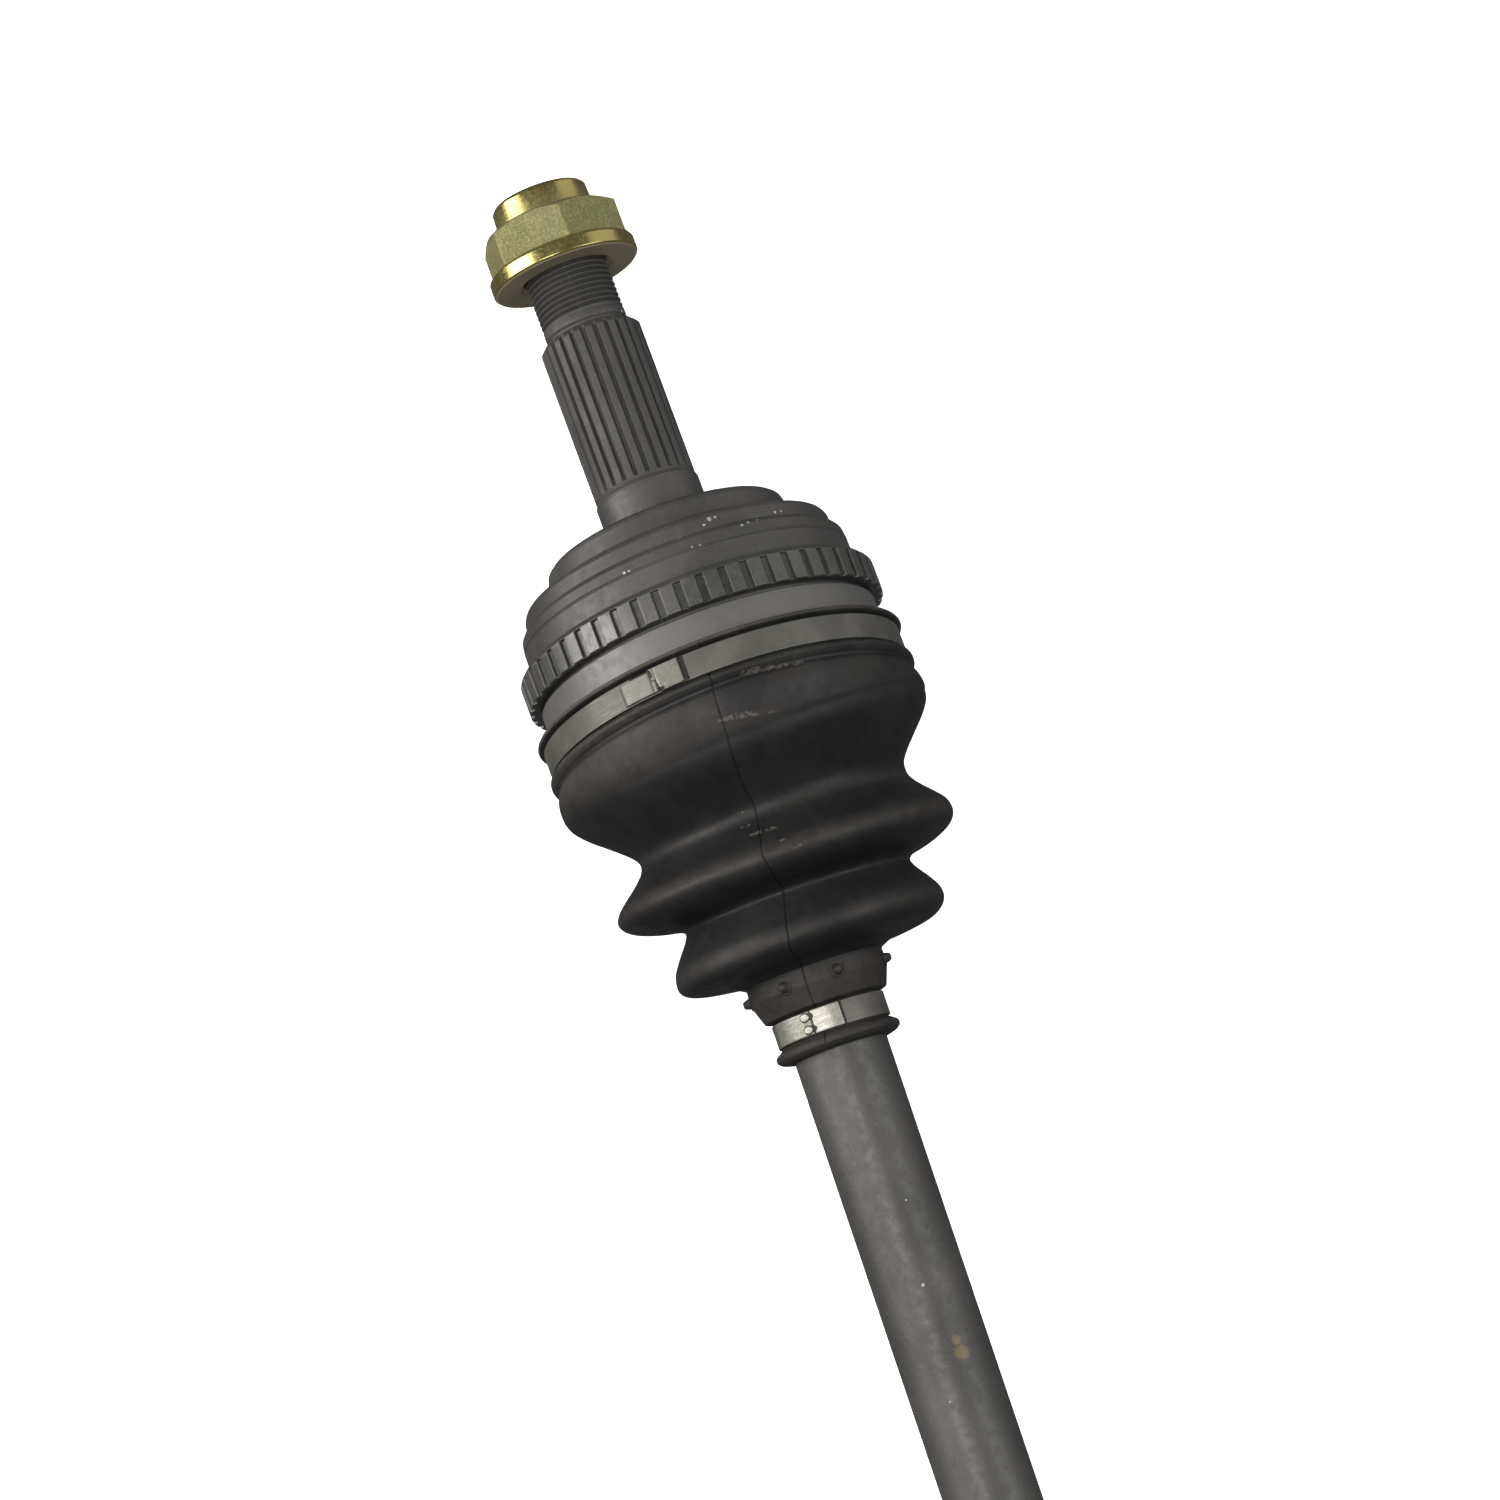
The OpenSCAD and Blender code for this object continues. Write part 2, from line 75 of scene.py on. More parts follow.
class Frame:
    """An axis to turn about: z along it, x down, y to the side."""

    def __init__(self, o, x, y, z):
        self.o, self.x, self.y, self.z = (np.array(v, float) for v in (o, x, y, z))

    def at(self, a, r, th):
        a, r, th = np.broadcast_arrays(a, r, th)
        return (
            self.o
            + MM * a[..., None] * self.z
            + MM * (r * np.cos(th))[..., None] * self.x
            + MM * (r * np.sin(th))[..., None] * self.y
        )

    def local(self, p):
        d = (p - self.o) / MM
        return np.stack([d @ self.z, d @ self.x, d @ self.y], -1)


s10, c10 = math.sin(DROOP), math.cos(DROOP)
WHEEL = Frame(O, (s10, 0, -c10), (0, 1, 0), (c10, 0, s10))
BAR = Frame(O, (0, 0, -1), (0, 1, 0), (1, 0, 0))
GEAR = Frame(I, (0, 0, -1), (0, 1, 0), (1, 0, 0))
TAU = 2 * math.pi


def ring_angles(n):
    return np.arange(n) * TAU / n


# ------------------------------------------------------------------ meshes
def rounded(pts, n=4, sup=0.12, closed=False, N=None):
    """Corners of an outline of (station, radius, fillet) rounded off. Values may be arrays round the ring."""
    if N is None:
        N = max(np.size(v) for p in pts for v in p)
    A = np.zeros((len(pts), N, 2))
    F = np.zeros((len(pts), N))
    for i, p in enumerate(pts):
        A[i, :, 0], A[i, :, 1] = p[0], p[1]
        F[i] = p[2] if len(p) > 2 else 0.15
    out = []
    idx = range(len(pts)) if closed else range(1, len(pts) - 1)
    if not closed:
        out.append(A[0])
    for i in idx:
        a, b, c = A[i - 1], A[i], A[(i + 1) % len(pts)]
        l1 = np.maximum(np.linalg.norm(b - a, axis=1), 1e-6)[:, None]
        l2 = np.maximum(np.linalg.norm(c - b, axis=1), 1e-6)[:, None]
        d1, d2 = (b - a) / l1, (c - b) / l2
        ang = np.arccos(np.clip((d1 * d2).sum(1), -1, 1))[:, None]
        t = F[i][:, None] * np.tan(np.minimum(ang, 2.9) / 2)
        t = np.minimum(t, np.minimum(0.42 * l1, 0.42 * l2))
        p0, p1 = b - d1 * t, b + d2 * t
        s1 = np.minimum(sup, 0.3 * (0.5 * l1 - t))
        s2 = np.minimum(sup, 0.3 * (0.5 * l2 - t))
        out.append(p0 - d1 * s1)
        for k in range(n + 1):
            u = k / n
            out.append((1 - u) ** 2 * p0 + 2 * u * (1 - u) * b + u * u * p1)
        out.append(p1 + d2 * s2)
    if not closed:
        out.append(A[-1])
    kept = [out[0]]
    for row in out[1:]:
        if np.abs(row - kept[-1]).max() > 2e-4:
            kept.append(row)
    return np.stack(kept)


def volume_sign(co, faces):
    v = 0.0
    for f in faces:
        if len(f) == 0:
            continue
        f = np.asarray(f)
        p = co[f]
        m = co.mean(0)
        for k in range(1, f.shape[1] - 1):
            v += np.einsum("ij,ij->", p[:, 0] - m, np.cross(p[:, k] - m, p[:, k + 1] - m))
    return v


class Soup:
    """Collects vertices and faces of one piece."""

    def __init__(self):
        self.co, self.loc, self.nor, self.quads, self.tris = [], [], [], [], []
        self.flat_q = []
        self.n = 0
        self.extra = []

    def grid(self, P, L, loop=False, poles=True, normals=None, flat_rows=(), extra=None):
        """A grid (rows, columns, 3), closed round its columns, and along its rows too if loop."""
        rows, N = P.shape[:2]
        first = not loop and poles and np.ptp(P[0], axis=0).max() < 1e-9
        last = not loop and poles and np.ptp(P[-1], axis=0).max() < 1e-9
        idx = np.zeros((rows, N), int)
        co, lo, no, ex = [], [], [], []
        k = 0
        for i in range(rows):
            if (i == 0 and first) or (i == rows - 1 and last):
                idx[i] = k
                k += 1
                sl = slice(0, 1)
            else:
                idx[i] = np.arange(k, k + N)
                k += N
                sl = slice(0, N)
            co.append(P[i][sl])
            lo.append(L[i][sl])
            no.append(normals[i][sl] if normals is not None else np.zeros_like(P[i][sl]))
            ex.append(extra[i][sl] if extra is not None else np.zeros(len(P[i][sl])))
        co = np.concatenate(co)
        quads, tris, flat = [], [], []
        nxt = np.roll(np.arange(N), -1)
        for i in range(rows if loop else rows - 1):
            j = (i + 1) % rows
            a, b = idx[i], idx[j]
            if i == 0 and first:
                tris.append(np.stack([a, b, b[nxt]], 1))
            elif j == rows - 1 and last:
                tris.append(np.stack([a, b, a[nxt]], 1))
            else:
                quads.append(np.stack([a, b, b[nxt], a[nxt]], 1))
                flat.append(np.full(N, i in flat_rows))
        quads = np.concatenate(quads) if quads else np.zeros((0, 4), int)
        flat = np.concatenate(flat) if flat else np.zeros(0, bool)
        tris = np.concatenate(tris) if tris else np.zeros((0, 3), int)
        if volume_sign(co, [quads, tris]) < 0:
            quads, tris = quads[:, ::-1], tris[:, ::-1]
        self.co.append(co)
        self.loc.append(np.concatenate(lo))
        self.nor.append(np.concatenate(no))
        self.extra.append(np.concatenate(ex))
        self.quads.append(quads + self.n)
        self.tris.append(tris + self.n)
        self.flat_q.append(flat)
        self.n += len(co)
        return self

    def strip(self, P, L, value=0.0):
        """A grid of cross-sections (sections, points, 3): a bent bar with flat ends."""
        m, k = P.shape[:2]
        co = P.reshape(-1, 3)
        idx = np.arange(m * k).reshape(m, k)
        nxt = np.roll(np.arange(k), -1)
        quads = np.concatenate(
            [np.stack([idx[i], idx[i + 1], idx[i + 1][nxt], idx[i][nxt]], 1) for i in range(m - 1)]
        )
        ends = []
        for row, flip in ((idx[0], False), (idx[-1], True)):
            for j in range(1, k - 1):
                t = [row[0], row[j], row[j + 1]]
                ends.append(t[::-1] if flip else t)
        tris = np.array(ends)
        if volume_sign(co, [quads, tris]) < 0:
            quads, tris = quads[:, ::-1], tris[:, ::-1]
        self.co.append(co)
        self.loc.append(L.reshape(-1, 3))
        self.nor.append(np.zeros_like(co))
        self.extra.append(np.full(len(co), float(value)))
        self.quads.append(quads + self.n)
        self.tris.append(tris + self.n)
        self.flat_q.append(np.zeros(len(quads), bool))
        self.n += len(co)
        return self

    def make(self, name, mat, body=None, nodes=(), slot=None, use_normals=False, extra_name=None):
        co = np.concatenate(self.co)
        quads = np.concatenate(self.quads)
        tris = np.concatenate(self.tris)
        nq, nt = len(quads), len(tris)
        me = bpy.data.meshes.new(name)
        me.vertices.add(len(co))
        me.vertices.foreach_set("co", co.astype(np.float32).ravel())
        me.loops.add(nq * 4 + nt * 3)
        me.loops.foreach_set("vertex_index", np.concatenate([quads.ravel(), tris.ravel()]).astype(np.int32))
        me.polygons.add(nq + nt)
        starts = np.concatenate([np.arange(nq) * 4, nq * 4 + np.arange(nt) * 3]).astype(np.int32)
        me.polygons.foreach_set("loop_start", starts)
        smooth = np.concatenate([~np.concatenate(self.flat_q), np.ones(nt, bool)])
        me.polygons.foreach_set("use_smooth", smooth)
        me.update(calc_edges=True)
        me.validate()
        at = me.attributes.new("loc", "FLOAT_VECTOR", "POINT")
        at.data.foreach_set("vector", np.concatenate(self.loc).astype(np.float32).ravel())
        if extra_name:
            at = me.attributes.new(extra_name, "FLOAT", "POINT")
            at.data.foreach_set("value", np.concatenate(self.extra).astype(np.float32))
        if use_normals:
            nor = np.concatenate(self.nor)
            me.normals_split_custom_set_from_vertices([tuple(v) for v in nor])
        me.materials.append(mat)
        ob = bpy.data.objects.new(name, me)
        bpy.context.scene.collection.objects.link(ob)
        if body:
            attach(ob, body)
        if nodes:
            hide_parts(*nodes)
        return ob


def lathe(soup, fr, rows, th, loop=False):
    """Rows (n, N, 2) of station and radius, turned about a frame's axis at the angles th."""
    X, R = rows[..., 0], rows[..., 1]
    T = np.broadcast_to(th, X.shape)
    P = fr.at(X, R, T)
    L = np.stack([X, R * np.cos(T), R * np.sin(T)], -1)
    return soup.grid(P, L, loop=loop)


def deg_diff(th, az):
    """Signed angle from az, in degrees."""
    return (np.degrees(th) - az + 180) % 360 - 180


def smoothstep(a, b, x):
    t = np.clip((x - a) / (b - a), 0, 1)
    return t * t * (3 - 2 * t)


# --------------------------------------------------------------- materials
class Mat:
    def __init__(self, name, local=True, **sockets):
        self.m = bpy.data.materials.new(name)
        self.m.use_nodes = True
        self.nt = self.m.node_tree
        self.nt.nodes.clear()
        out = self.nt.nodes.new("ShaderNodeOutputMaterial")
        self.b = self.nt.nodes.new("ShaderNodeBsdfPrincipled")
        self.nt.links.new(self.b.outputs[0], out.inputs[0])
        for k, v in sockets.items():
            self.b.inputs[k.replace("_", " ")].default_value = v
        if local:
            a = self.node("ShaderNodeAttribute")
            a.attribute_name = "loc"
            self.p = a.outputs["Vector"]
        else:
            t = self.node("ShaderNodeTexCoord")
            self.p = self.vec("MULTIPLY", t.outputs["Object"], (1000.0, 1000.0, 1000.0))

    def node(self, kind):
        return self.nt.nodes.new(kind)

    def put(self, sock, v):
        if isinstance(v, bpy.types.NodeSocket):
            self.nt.links.new(v, sock)
        elif isinstance(v, (tuple, list)) and sock.type == "RGBA" and len(v) == 3:
            sock.default_value = (*v, 1)
        else:
            sock.default_value = v

    def set(self, name, v):
        self.put(self.b.inputs[name], v)

    def vec(self, op, a, b=None, scale=None):
        n = self.node("ShaderNodeVectorMath")
        n.operation = op
        self.put(n.inputs[0], a)
        if b is not None:
            self.put(n.inputs[1], b)
        if scale is not None:
            self.put(n.inputs["Scale"], scale)
        return n.outputs["Value"] if op in ("DISTANCE", "LENGTH", "DOT_PRODUCT") else n.outputs["Vector"]

    def math(self, op, a, b=None, c=None, clamp=False):
        n = self.node("ShaderNodeMath")
        n.operation = op
        n.use_clamp = clamp
        self.put(n.inputs[0], a)
        if b is not None:
            self.put(n.inputs[1], b)
        if c is not None:
            self.put(n.inputs[2], c)
        return n.outputs[0]

    def noise(self, scale, detail=3.0, rough=0.5, p=None, dist=0.0):
        n = self.node("ShaderNodeTexNoise")
        self.put(n.inputs["Vector"], p if p is not None else self.p)
        self.put(n.inputs["Scale"], scale)
        self.put(n.inputs["Detail"], detail)
        self.put(n.inputs["Roughness"], rough)
        self.put(n.inputs["Distortion"], dist)
        return n.outputs["Fac"]

    def voronoi(self, scale, p=None):
        n = self.node("ShaderNodeTexVoronoi")
        self.put(n.inputs["Vector"], p if p is not None else self.p)
        self.put(n.inputs["Scale"], scale)
        return n.outputs["Distance"]

    def range(self, v, a, b, c=0.0, d=1.0, smooth=True):
        n = self.node("ShaderNodeMapRange")
        n.interpolation_type = "SMOOTHSTEP" if smooth else "LINEAR"
        self.put(n.inputs["Value"], v)
        for k, x in zip(("From Min", "From Max", "To Min", "To Max"), (a, b, c, d)):
            self.put(n.inputs[k], x)
        return n.outputs["Result"]

    def mix(self, f, a, b, mode="MIX"):
        n = self.node("ShaderNodeMix")
        n.data_type = "RGBA"
        n.blend_type = mode
        self.put(n.inputs["Factor"], f)
        self.put(n.inputs[6], a)
        self.put(n.inputs[7], b)
        return n.outputs[2]

    def stretched(self, x, y, z):
        return self.vec("MULTIPLY", self.p, (x, y, z))

    def axes(self):
        n = self.node("ShaderNodeSeparateXYZ")
        self.put(n.inputs[0], self.p)
        return n.outputs

    def attr(self, name):
        a = self.node("ShaderNodeAttribute")
        a.attribute_name = name
        return a.outputs["Fac"]

    def bump(self, h, strength, dist, normal=None):
        n = self.node("ShaderNodeBump")
        self.put(n.inputs["Height"], h)
        self.put(n.inputs["Strength"], strength)
        self.put(n.inputs["Distance"], dist * MM)
        if normal is not None:
            self.put(n.inputs["Normal"], normal)
        return n.outputs["Normal"]

    def spots(self, places, flat=1.0):
        """A mask of small ragged spots at (place, radius) in local millimetres, flattened along the axis."""
        wob = self.math("MULTIPLY", self.noise(2.6, 3), 1.1)
        total = None
        for p, r in places:
            d = self.vec("SUBTRACT", self.p, tuple(float(x) for x in p))
            if flat != 1.0:
                d = self.vec("MULTIPLY", d, (flat, 1.0, 1.0))
            d = self.vec("LENGTH", d)
            d = self.math("ADD", self.math("DIVIDE", d, float(r)), wob)
            m = self.range(d, 1.55, 1.15)
            total = m if total is None else self.math("MAXIMUM", total, m)
        return total


def paint_material(name, chips=(), stains=(), spline=False):
    m = Mat(name, Metallic=0.3, Specular_IOR_Level=0.4)
    grain = m.noise(1.6, 4, 0.6)
    cloud = m.noise(0.05, 3, 0.55)
    col = m.mix(m.range(cloud, 0.35, 0.7), (0.060, 0.057, 0.053), (0.078, 0.074, 0.069))
    col = m.mix(m.math("MULTIPLY", m.range(grain, 0.45, 0.75), 0.35), col, (0.115, 0.11, 0.10))
    speck = m.range(m.noise(0.9, 2, 0.4), 0.76, 0.8)
    col = m.mix(m.math("MULTIPLY", speck, 0.5), col, (0.25, 0.24, 0.22))
    rough = m.range(m.noise(0.35, 3), 0.3, 0.75, 0.44, 0.58)
    if spline:
        seat = m.range(m.axes()[0], -3.0, -2.5)
        col = m.mix(m.math("MULTIPLY", seat, 0.7), col, (0.150, 0.145, 0.140))
        ax = m.axes()
        rad = m.math("SQRT", m.math("ADD", m.math("MULTIPLY", ax[1], ax[1]), m.math("MULTIPLY", ax[2], ax[2])))
        # painted shade: near-black below radius 10.85 on the stub ahead of x -98, in the thread roots and on the
        # narrower stub
        thread_root_shade = m.math("MULTIPLY", m.range(rad, 10.85, 10.3), m.range(ax[0], -98.0, -99.5))
        col = m.mix(m.math("MULTIPLY", thread_root_shade, 0.7), col, (0.022, 0.021, 0.020))
        rough = m.math("ADD", rough, m.math("MULTIPLY", m.range(m.axes()[0], -50.0, -52.0), 0.12))
    if stains:
        k = m.spots(stains)
        col = m.mix(m.math("MULTIPLY", k, 0.55), col, (0.19, 0.135, 0.055))
    if chips:
        k = m.math("MULTIPLY", m.spots(chips), m.range(m.noise(2.4, 2, 0.6), 0.36, 0.6, 0.25, 1.0))
        col = m.mix(k, col, (0.54, 0.53, 0.50))
        rough = m.math("MAXIMUM", rough, m.math("MULTIPLY", k, 0.55))
    m.set("Base Color", col)
    m.set("Roughness", rough)
    h = m.math("ADD", m.math("MULTIPLY", m.noise(4.0, 4, 0.6), 0.5), m.noise(0.9, 3, 0.55))
    m.set("Normal", m.bump(h, 0.35, 0.06))
    return m.m


def ring_material():
    m = Mat("tone_ring_paint", Metallic=0.4, Specular_IOR_Level=0.55)
    cloud = m.noise(0.06, 3, 0.55)
    col = m.mix(m.range(cloud, 0.35, 0.7), (0.072, 0.070, 0.064), (0.098, 0.094, 0.086))
    col = m.mix(m.math("MULTIPLY", m.range(m.noise(2.2, 3, 0.6), 0.5, 0.78), 0.4), col, (0.17, 0.165, 0.15))
    ax = m.axes()
    rad = m.math("SQRT", m.math("ADD", m.math("MULTIPLY", ax[1], ax[1]), m.math("MULTIPLY", ax[2], ax[2])))
    # painted shade: darker in the tooth recesses, below radius 47.9 and from x -11 on
    recess_shade = m.math("MULTIPLY", m.range(rad, 47.9, 47.3), m.range(ax[0], -11.5, -10.9))
    col = m.mix(m.math("MULTIPLY", recess_shade, 0.55), col, (0.026, 0.025, 0.024))
    m.set("Base Color", col)
    m.set("Roughness", m.range(m.noise(0.5, 3), 0.3, 0.75, 0.30, 0.44))
    m.set("Normal", m.bump(m.noise(3.0, 4, 0.6), 0.4, 0.07))
    return m.m


def machined_material(name, col_a, col_b, rough=(0.22, 0.36), metal=1.0, lines=2.2):
    """Turned steel with fine lines round the axis."""
    m = Mat(name, Metallic=metal)
    ax = m.axes()
    turn = m.noise(lines, 3, 0.6, p=m.stretched(1.0, 0.03, 0.03))
    col = m.mix(m.range(m.noise(0.08, 3), 0.35, 0.7), col_a, col_b)
    m.set("Base Color", m.mix(m.math("MULTIPLY", turn, 0.25), col, col_b))
    m.set("Roughness", m.range(m.noise(0.4, 3), 0.3, 0.75, *rough))
    m.set("Normal", m.bump(turn, 0.25, 0.05))
    return m.m


def zinc_material():
    m = Mat("zinc_yellow_plating")
    ax = m.axes()
    smooth = m.attr("polish_and_painted_shade")
    face = m.range(ax[0], -112.9, -112.5)
    tint = m.noise(0.11, 4, 0.6, dist=0.6)
    col = m.mix(m.range(tint, 0.36, 0.62), (0.185, 0.182, 0.066), (0.230, 0.216, 0.078))
    rosy = m.range(m.noise(0.09, 2, 0.5, p=m.vec("ADD", m.p, (31.0, 7.0, 3.0))), 0.52, 0.72)
    col = m.mix(m.math("MULTIPLY", rosy, 0.35), col, (0.27, 0.19, 0.12))
    green = m.range(m.noise(0.13, 3, 0.5, p=m.vec("ADD", m.p, (5.0, 71.0, 13.0))), 0.54, 0.72)
    col = m.mix(m.math("MULTIPLY", green, 0.45), col, (0.165, 0.21, 0.10))
    col = m.mix(m.math("MULTIPLY", smooth, 0.85), col, (0.52, 0.43, 0.16))
    grain = m.noise(1.7, 4, 0.7)
    col = m.mix(m.math("MULTIPLY", m.range(grain, 0.47, 0.64), m.math("SUBTRACT", 0.7, m.math("MULTIPLY", smooth, 0.6))), col, (0.15, 0.14, 0.07))
    col = m.mix(m.math("MULTIPLY", m.range(grain, 0.49, 0.36), m.math("SUBTRACT", 0.5, m.math("MULTIPLY", smooth, 0.44))), col, (0.42, 0.41, 0.20))
    col = m.mix(m.math("MULTIPLY", face, 0.85), col, (0.35, 0.31, 0.22))
    m.set("Base Color", col)
    metal = m.math("ADD", 0.32, m.math("MULTIPLY", smooth, 0.63))
    m.set("Metallic", m.math("SUBTRACT", metal, m.math("MULTIPLY", face, 0.3)))
    rough = m.range(m.noise(1.2, 4, 0.6), 0.3, 0.72, 0.56, 0.72)
    m.set("Roughness", m.math("SUBTRACT", rough, m.math("MULTIPLY", smooth, m.math("SUBTRACT", 0.40, m.math("MULTIPLY", face, 0.25)))))
    h = m.math("ADD", m.noise(2.6, 4, 0.65), m.math("MULTIPLY", m.noise(7.0, 3, 0.6), 0.5))
    amount = m.math("SUBTRACT", 0.85, m.math("MULTIPLY", smooth, 0.83))
    m.set("Normal", m.bump(h, amount, 0.12))
    return m.m


def rubber_material(name, scuffs=()):
    m = Mat(name, Specular_IOR_Level=0.22)
    base = m.mix(m.range(m.noise(0.06, 4, 0.6), 0.35, 0.7), (0.0090, 0.0090, 0.0094), (0.0150, 0.0147, 0.0145))
    # brownish film from the per-vertex level the boots carry: real dust, painted sheen and highlight, and dips where
    # painted shade falls
    dust_and_painted_light = m.attr("dust_and_painted_light")
    n1 = m.noise(0.12, 5, 0.65, dist=0.8)
    n2 = m.noise(1.1, 4, 0.6)
    amount = m.math("MULTIPLY", dust_and_painted_light, m.range(m.math("ADD", m.math("MULTIPLY", n1, 0.7), m.math("MULTIPLY", n2, 0.3)), 0.33, 0.66, 0.45, 1.0))
    col = m.mix(m.math("MULTIPLY", amount, 0.62), base, (0.108, 0.095, 0.081))
    lint = m.range(m.noise(1.7, 2, 0.4), 0.77, 0.82)
    col = m.mix(m.math("MULTIPLY", lint, 0.35), col, (0.11, 0.10, 0.09))
    if scuffs:
        k = m.math("MULTIPLY", m.spots(scuffs, flat=3.6), m.range(m.noise(1.1, 4, 0.7), 0.42, 0.58))
        col = m.mix(m.math("MULTIPLY", k, 0.6), col, (0.135, 0.118, 0.095))
    m.set("Base Color", col)
    m.set("Roughness", m.math("ADD", m.range(m.noise(0.3, 4), 0.3, 0.75, 0.44, 0.58), m.math("MULTIPLY", amount, 0.22)))
    h = m.math("ADD", m.math("MULTIPLY", m.noise(1.4, 4, 0.6), 0.7), m.math("MULTIPLY", m.noise(6.0, 3, 0.6), 0.25))
    m.set("Normal", m.bump(h, 0.35, 0.09))
    return m.m


def clamp_material():
    m = Mat("clamp_band_steel")
    bright = m.attr("polish_and_painted_shade")
    # negative values of the attribute give near-black: painted shade and shadow in the clamps' slots, seams and
    # notches; positive values give the brighter lock pieces
    dark = m.range(bright, -0.2, -0.9)
    bright = m.math("MAXIMUM", bright, 0.0)
    brush = m.noise(1.4, 3, 0.6, p=m.stretched(3.0, 0.12, 0.12))
    col = m.mix(m.range(m.noise(0.09, 3), 0.35, 0.7), (0.085, 0.081, 0.070), (0.125, 0.118, 0.100))
    col = m.mix(m.math("MULTIPLY", m.range(m.noise(0.8, 4, 0.65), 0.55, 0.75), 0.4), col, (0.06, 0.055, 0.045))
    grime = m.range(m.noise(0.9, 4, 0.65), 0.35, 0.7, 0.65, 1.0)
    col = m.mix(m.math("MULTIPLY", bright, grime), col, (0.44, 0.425, 0.375))
    col = m.mix(dark, col, (0.012, 0.011, 0.010))
    m.set("Base Color", col)
    m.set("Metallic", m.math("ADD", 0.35, m.math("MULTIPLY", bright, 0.45)))
    m.set("Roughness", m.math("SUBTRACT", m.range(brush, 0.3, 0.7, 0.42, 0.58), m.math("MULTIPLY", bright, 0.08)))
    m.set("Normal", m.bump(m.math("ADD", brush, m.math("MULTIPLY", m.noise(1.6, 3), 1.2)), 0.45, 0.08))
    return m.m


def ground_material(name, a, b, rough):
    """Ground or hardened steel, for the carried-over inner pieces."""
    m = Mat(name, local=False, Metallic=1.0)
    grease = m.range(m.noise(0.12, 4, 0.6, dist=0.5), 0.45, 0.65)
    col = m.mix(grease, a, b)
    m.set("Base Color", col)
    m.set("Roughness", m.math("ADD", m.range(m.noise(0.8, 3), 0.3, 0.75, rough, rough + 0.1), m.math("MULTIPLY", grease, 0.08)))
    m.set("Normal", m.bump(m.noise(5.0, 3, 0.6), 0.15, 0.03))
    return m.m


# ------------------------------------------------------------------ camera
CAM = np.array((0.09585, -0.16086, 0.98232))
CAM /= np.linalg.norm(CAM)
xp = np.array((1.0, 0.0, 0.0)) - CAM[0] * CAM
xp /= np.linalg.norm(xp)
side = np.cross(CAM, xp)
roll = math.radians(18.66)
RIGHT = math.sin(roll) * xp + math.cos(roll) * side
UP = -math.cos(roll) * xp + math.sin(roll) * side
PX = 0.0002575
centre = O + PX * (38 * RIGHT - 82 * UP)
DIST = 5.0
cam_data = bpy.data.cameras.new("camera")
cam_data.type = "PERSP"
cam_data.sensor_width = 36
cam_data.lens = 36 * DIST / (1500 * PX)
cam_data.clip_start, cam_data.clip_end = 0.1, 30
cam = bpy.data.objects.new("camera", cam_data)
bpy.context.scene.collection.objects.link(cam)
m4 = Matrix.Identity(4)
for k in range(3):
    m4[k][0], m4[k][1], m4[k][2] = RIGHT[k], UP[k], CAM[k]
    m4[k][3] = (centre + DIST * CAM)[k]
cam.matrix_world = m4
bpy.context.scene.camera = cam


def under_pixel(ob, fr, px, py):
    """Local place on a piece, under a pixel of the photograph."""
    me = ob.data
    co = np.zeros(len(me.vertices) * 3)
    me.vertices.foreach_get("co", co)
    co = co.reshape(-1, 3)
    tree = trees.get(ob.name)
    if tree is None:
        tree = trees[ob.name] = BVHTree.FromPolygons([tuple(v) for v in co], [tuple(f.vertices) for f in me.polygons])
    eye = centre + DIST * CAM
    p = O + PX * ((px - 712) * RIGHT - (py - 668) * UP)
    hit = tree.ray_cast(Vector(eye), Vector(p - eye).normalized())[0]
    return fr.local(np.array(hit)) if hit is not None else None


trees = {}


def marks(ob, fr, places):
    found = [(under_pixel(ob, fr, x, y), r) for x, y, r in places]
    return [(p, r) for p, r in found if p is not None]


def marks_over(obs, fr, places):
    """The same, on whichever of several pieces lies nearest under the pixel."""
    eye = fr.local((centre + DIST * CAM)[None])[0]
    out = []
    for x, y, r in places:
        hits = [h for h in (under_pixel(ob, fr, x, y) for ob in obs) if h is not None]
        if hits:
            out.append((min(hits, key=lambda h: float(np.linalg.norm(h - eye))), r))
    return out


PAINT_TULIP = paint_material("tulip_paint")
RING = ring_material()
ZINC = zinc_material()
RUBBER = rubber_material("boot_rubber_moulded")
CLAMP = clamp_material()
BEARING = ground_material("bearing_steel_ground", (0.52, 0.52, 0.53), (0.36, 0.33, 0.28), 0.2)
SPRING = ground_material("spring_steel_oiled", (0.10, 0.10, 0.105), (0.06, 0.058, 0.055), 0.32)


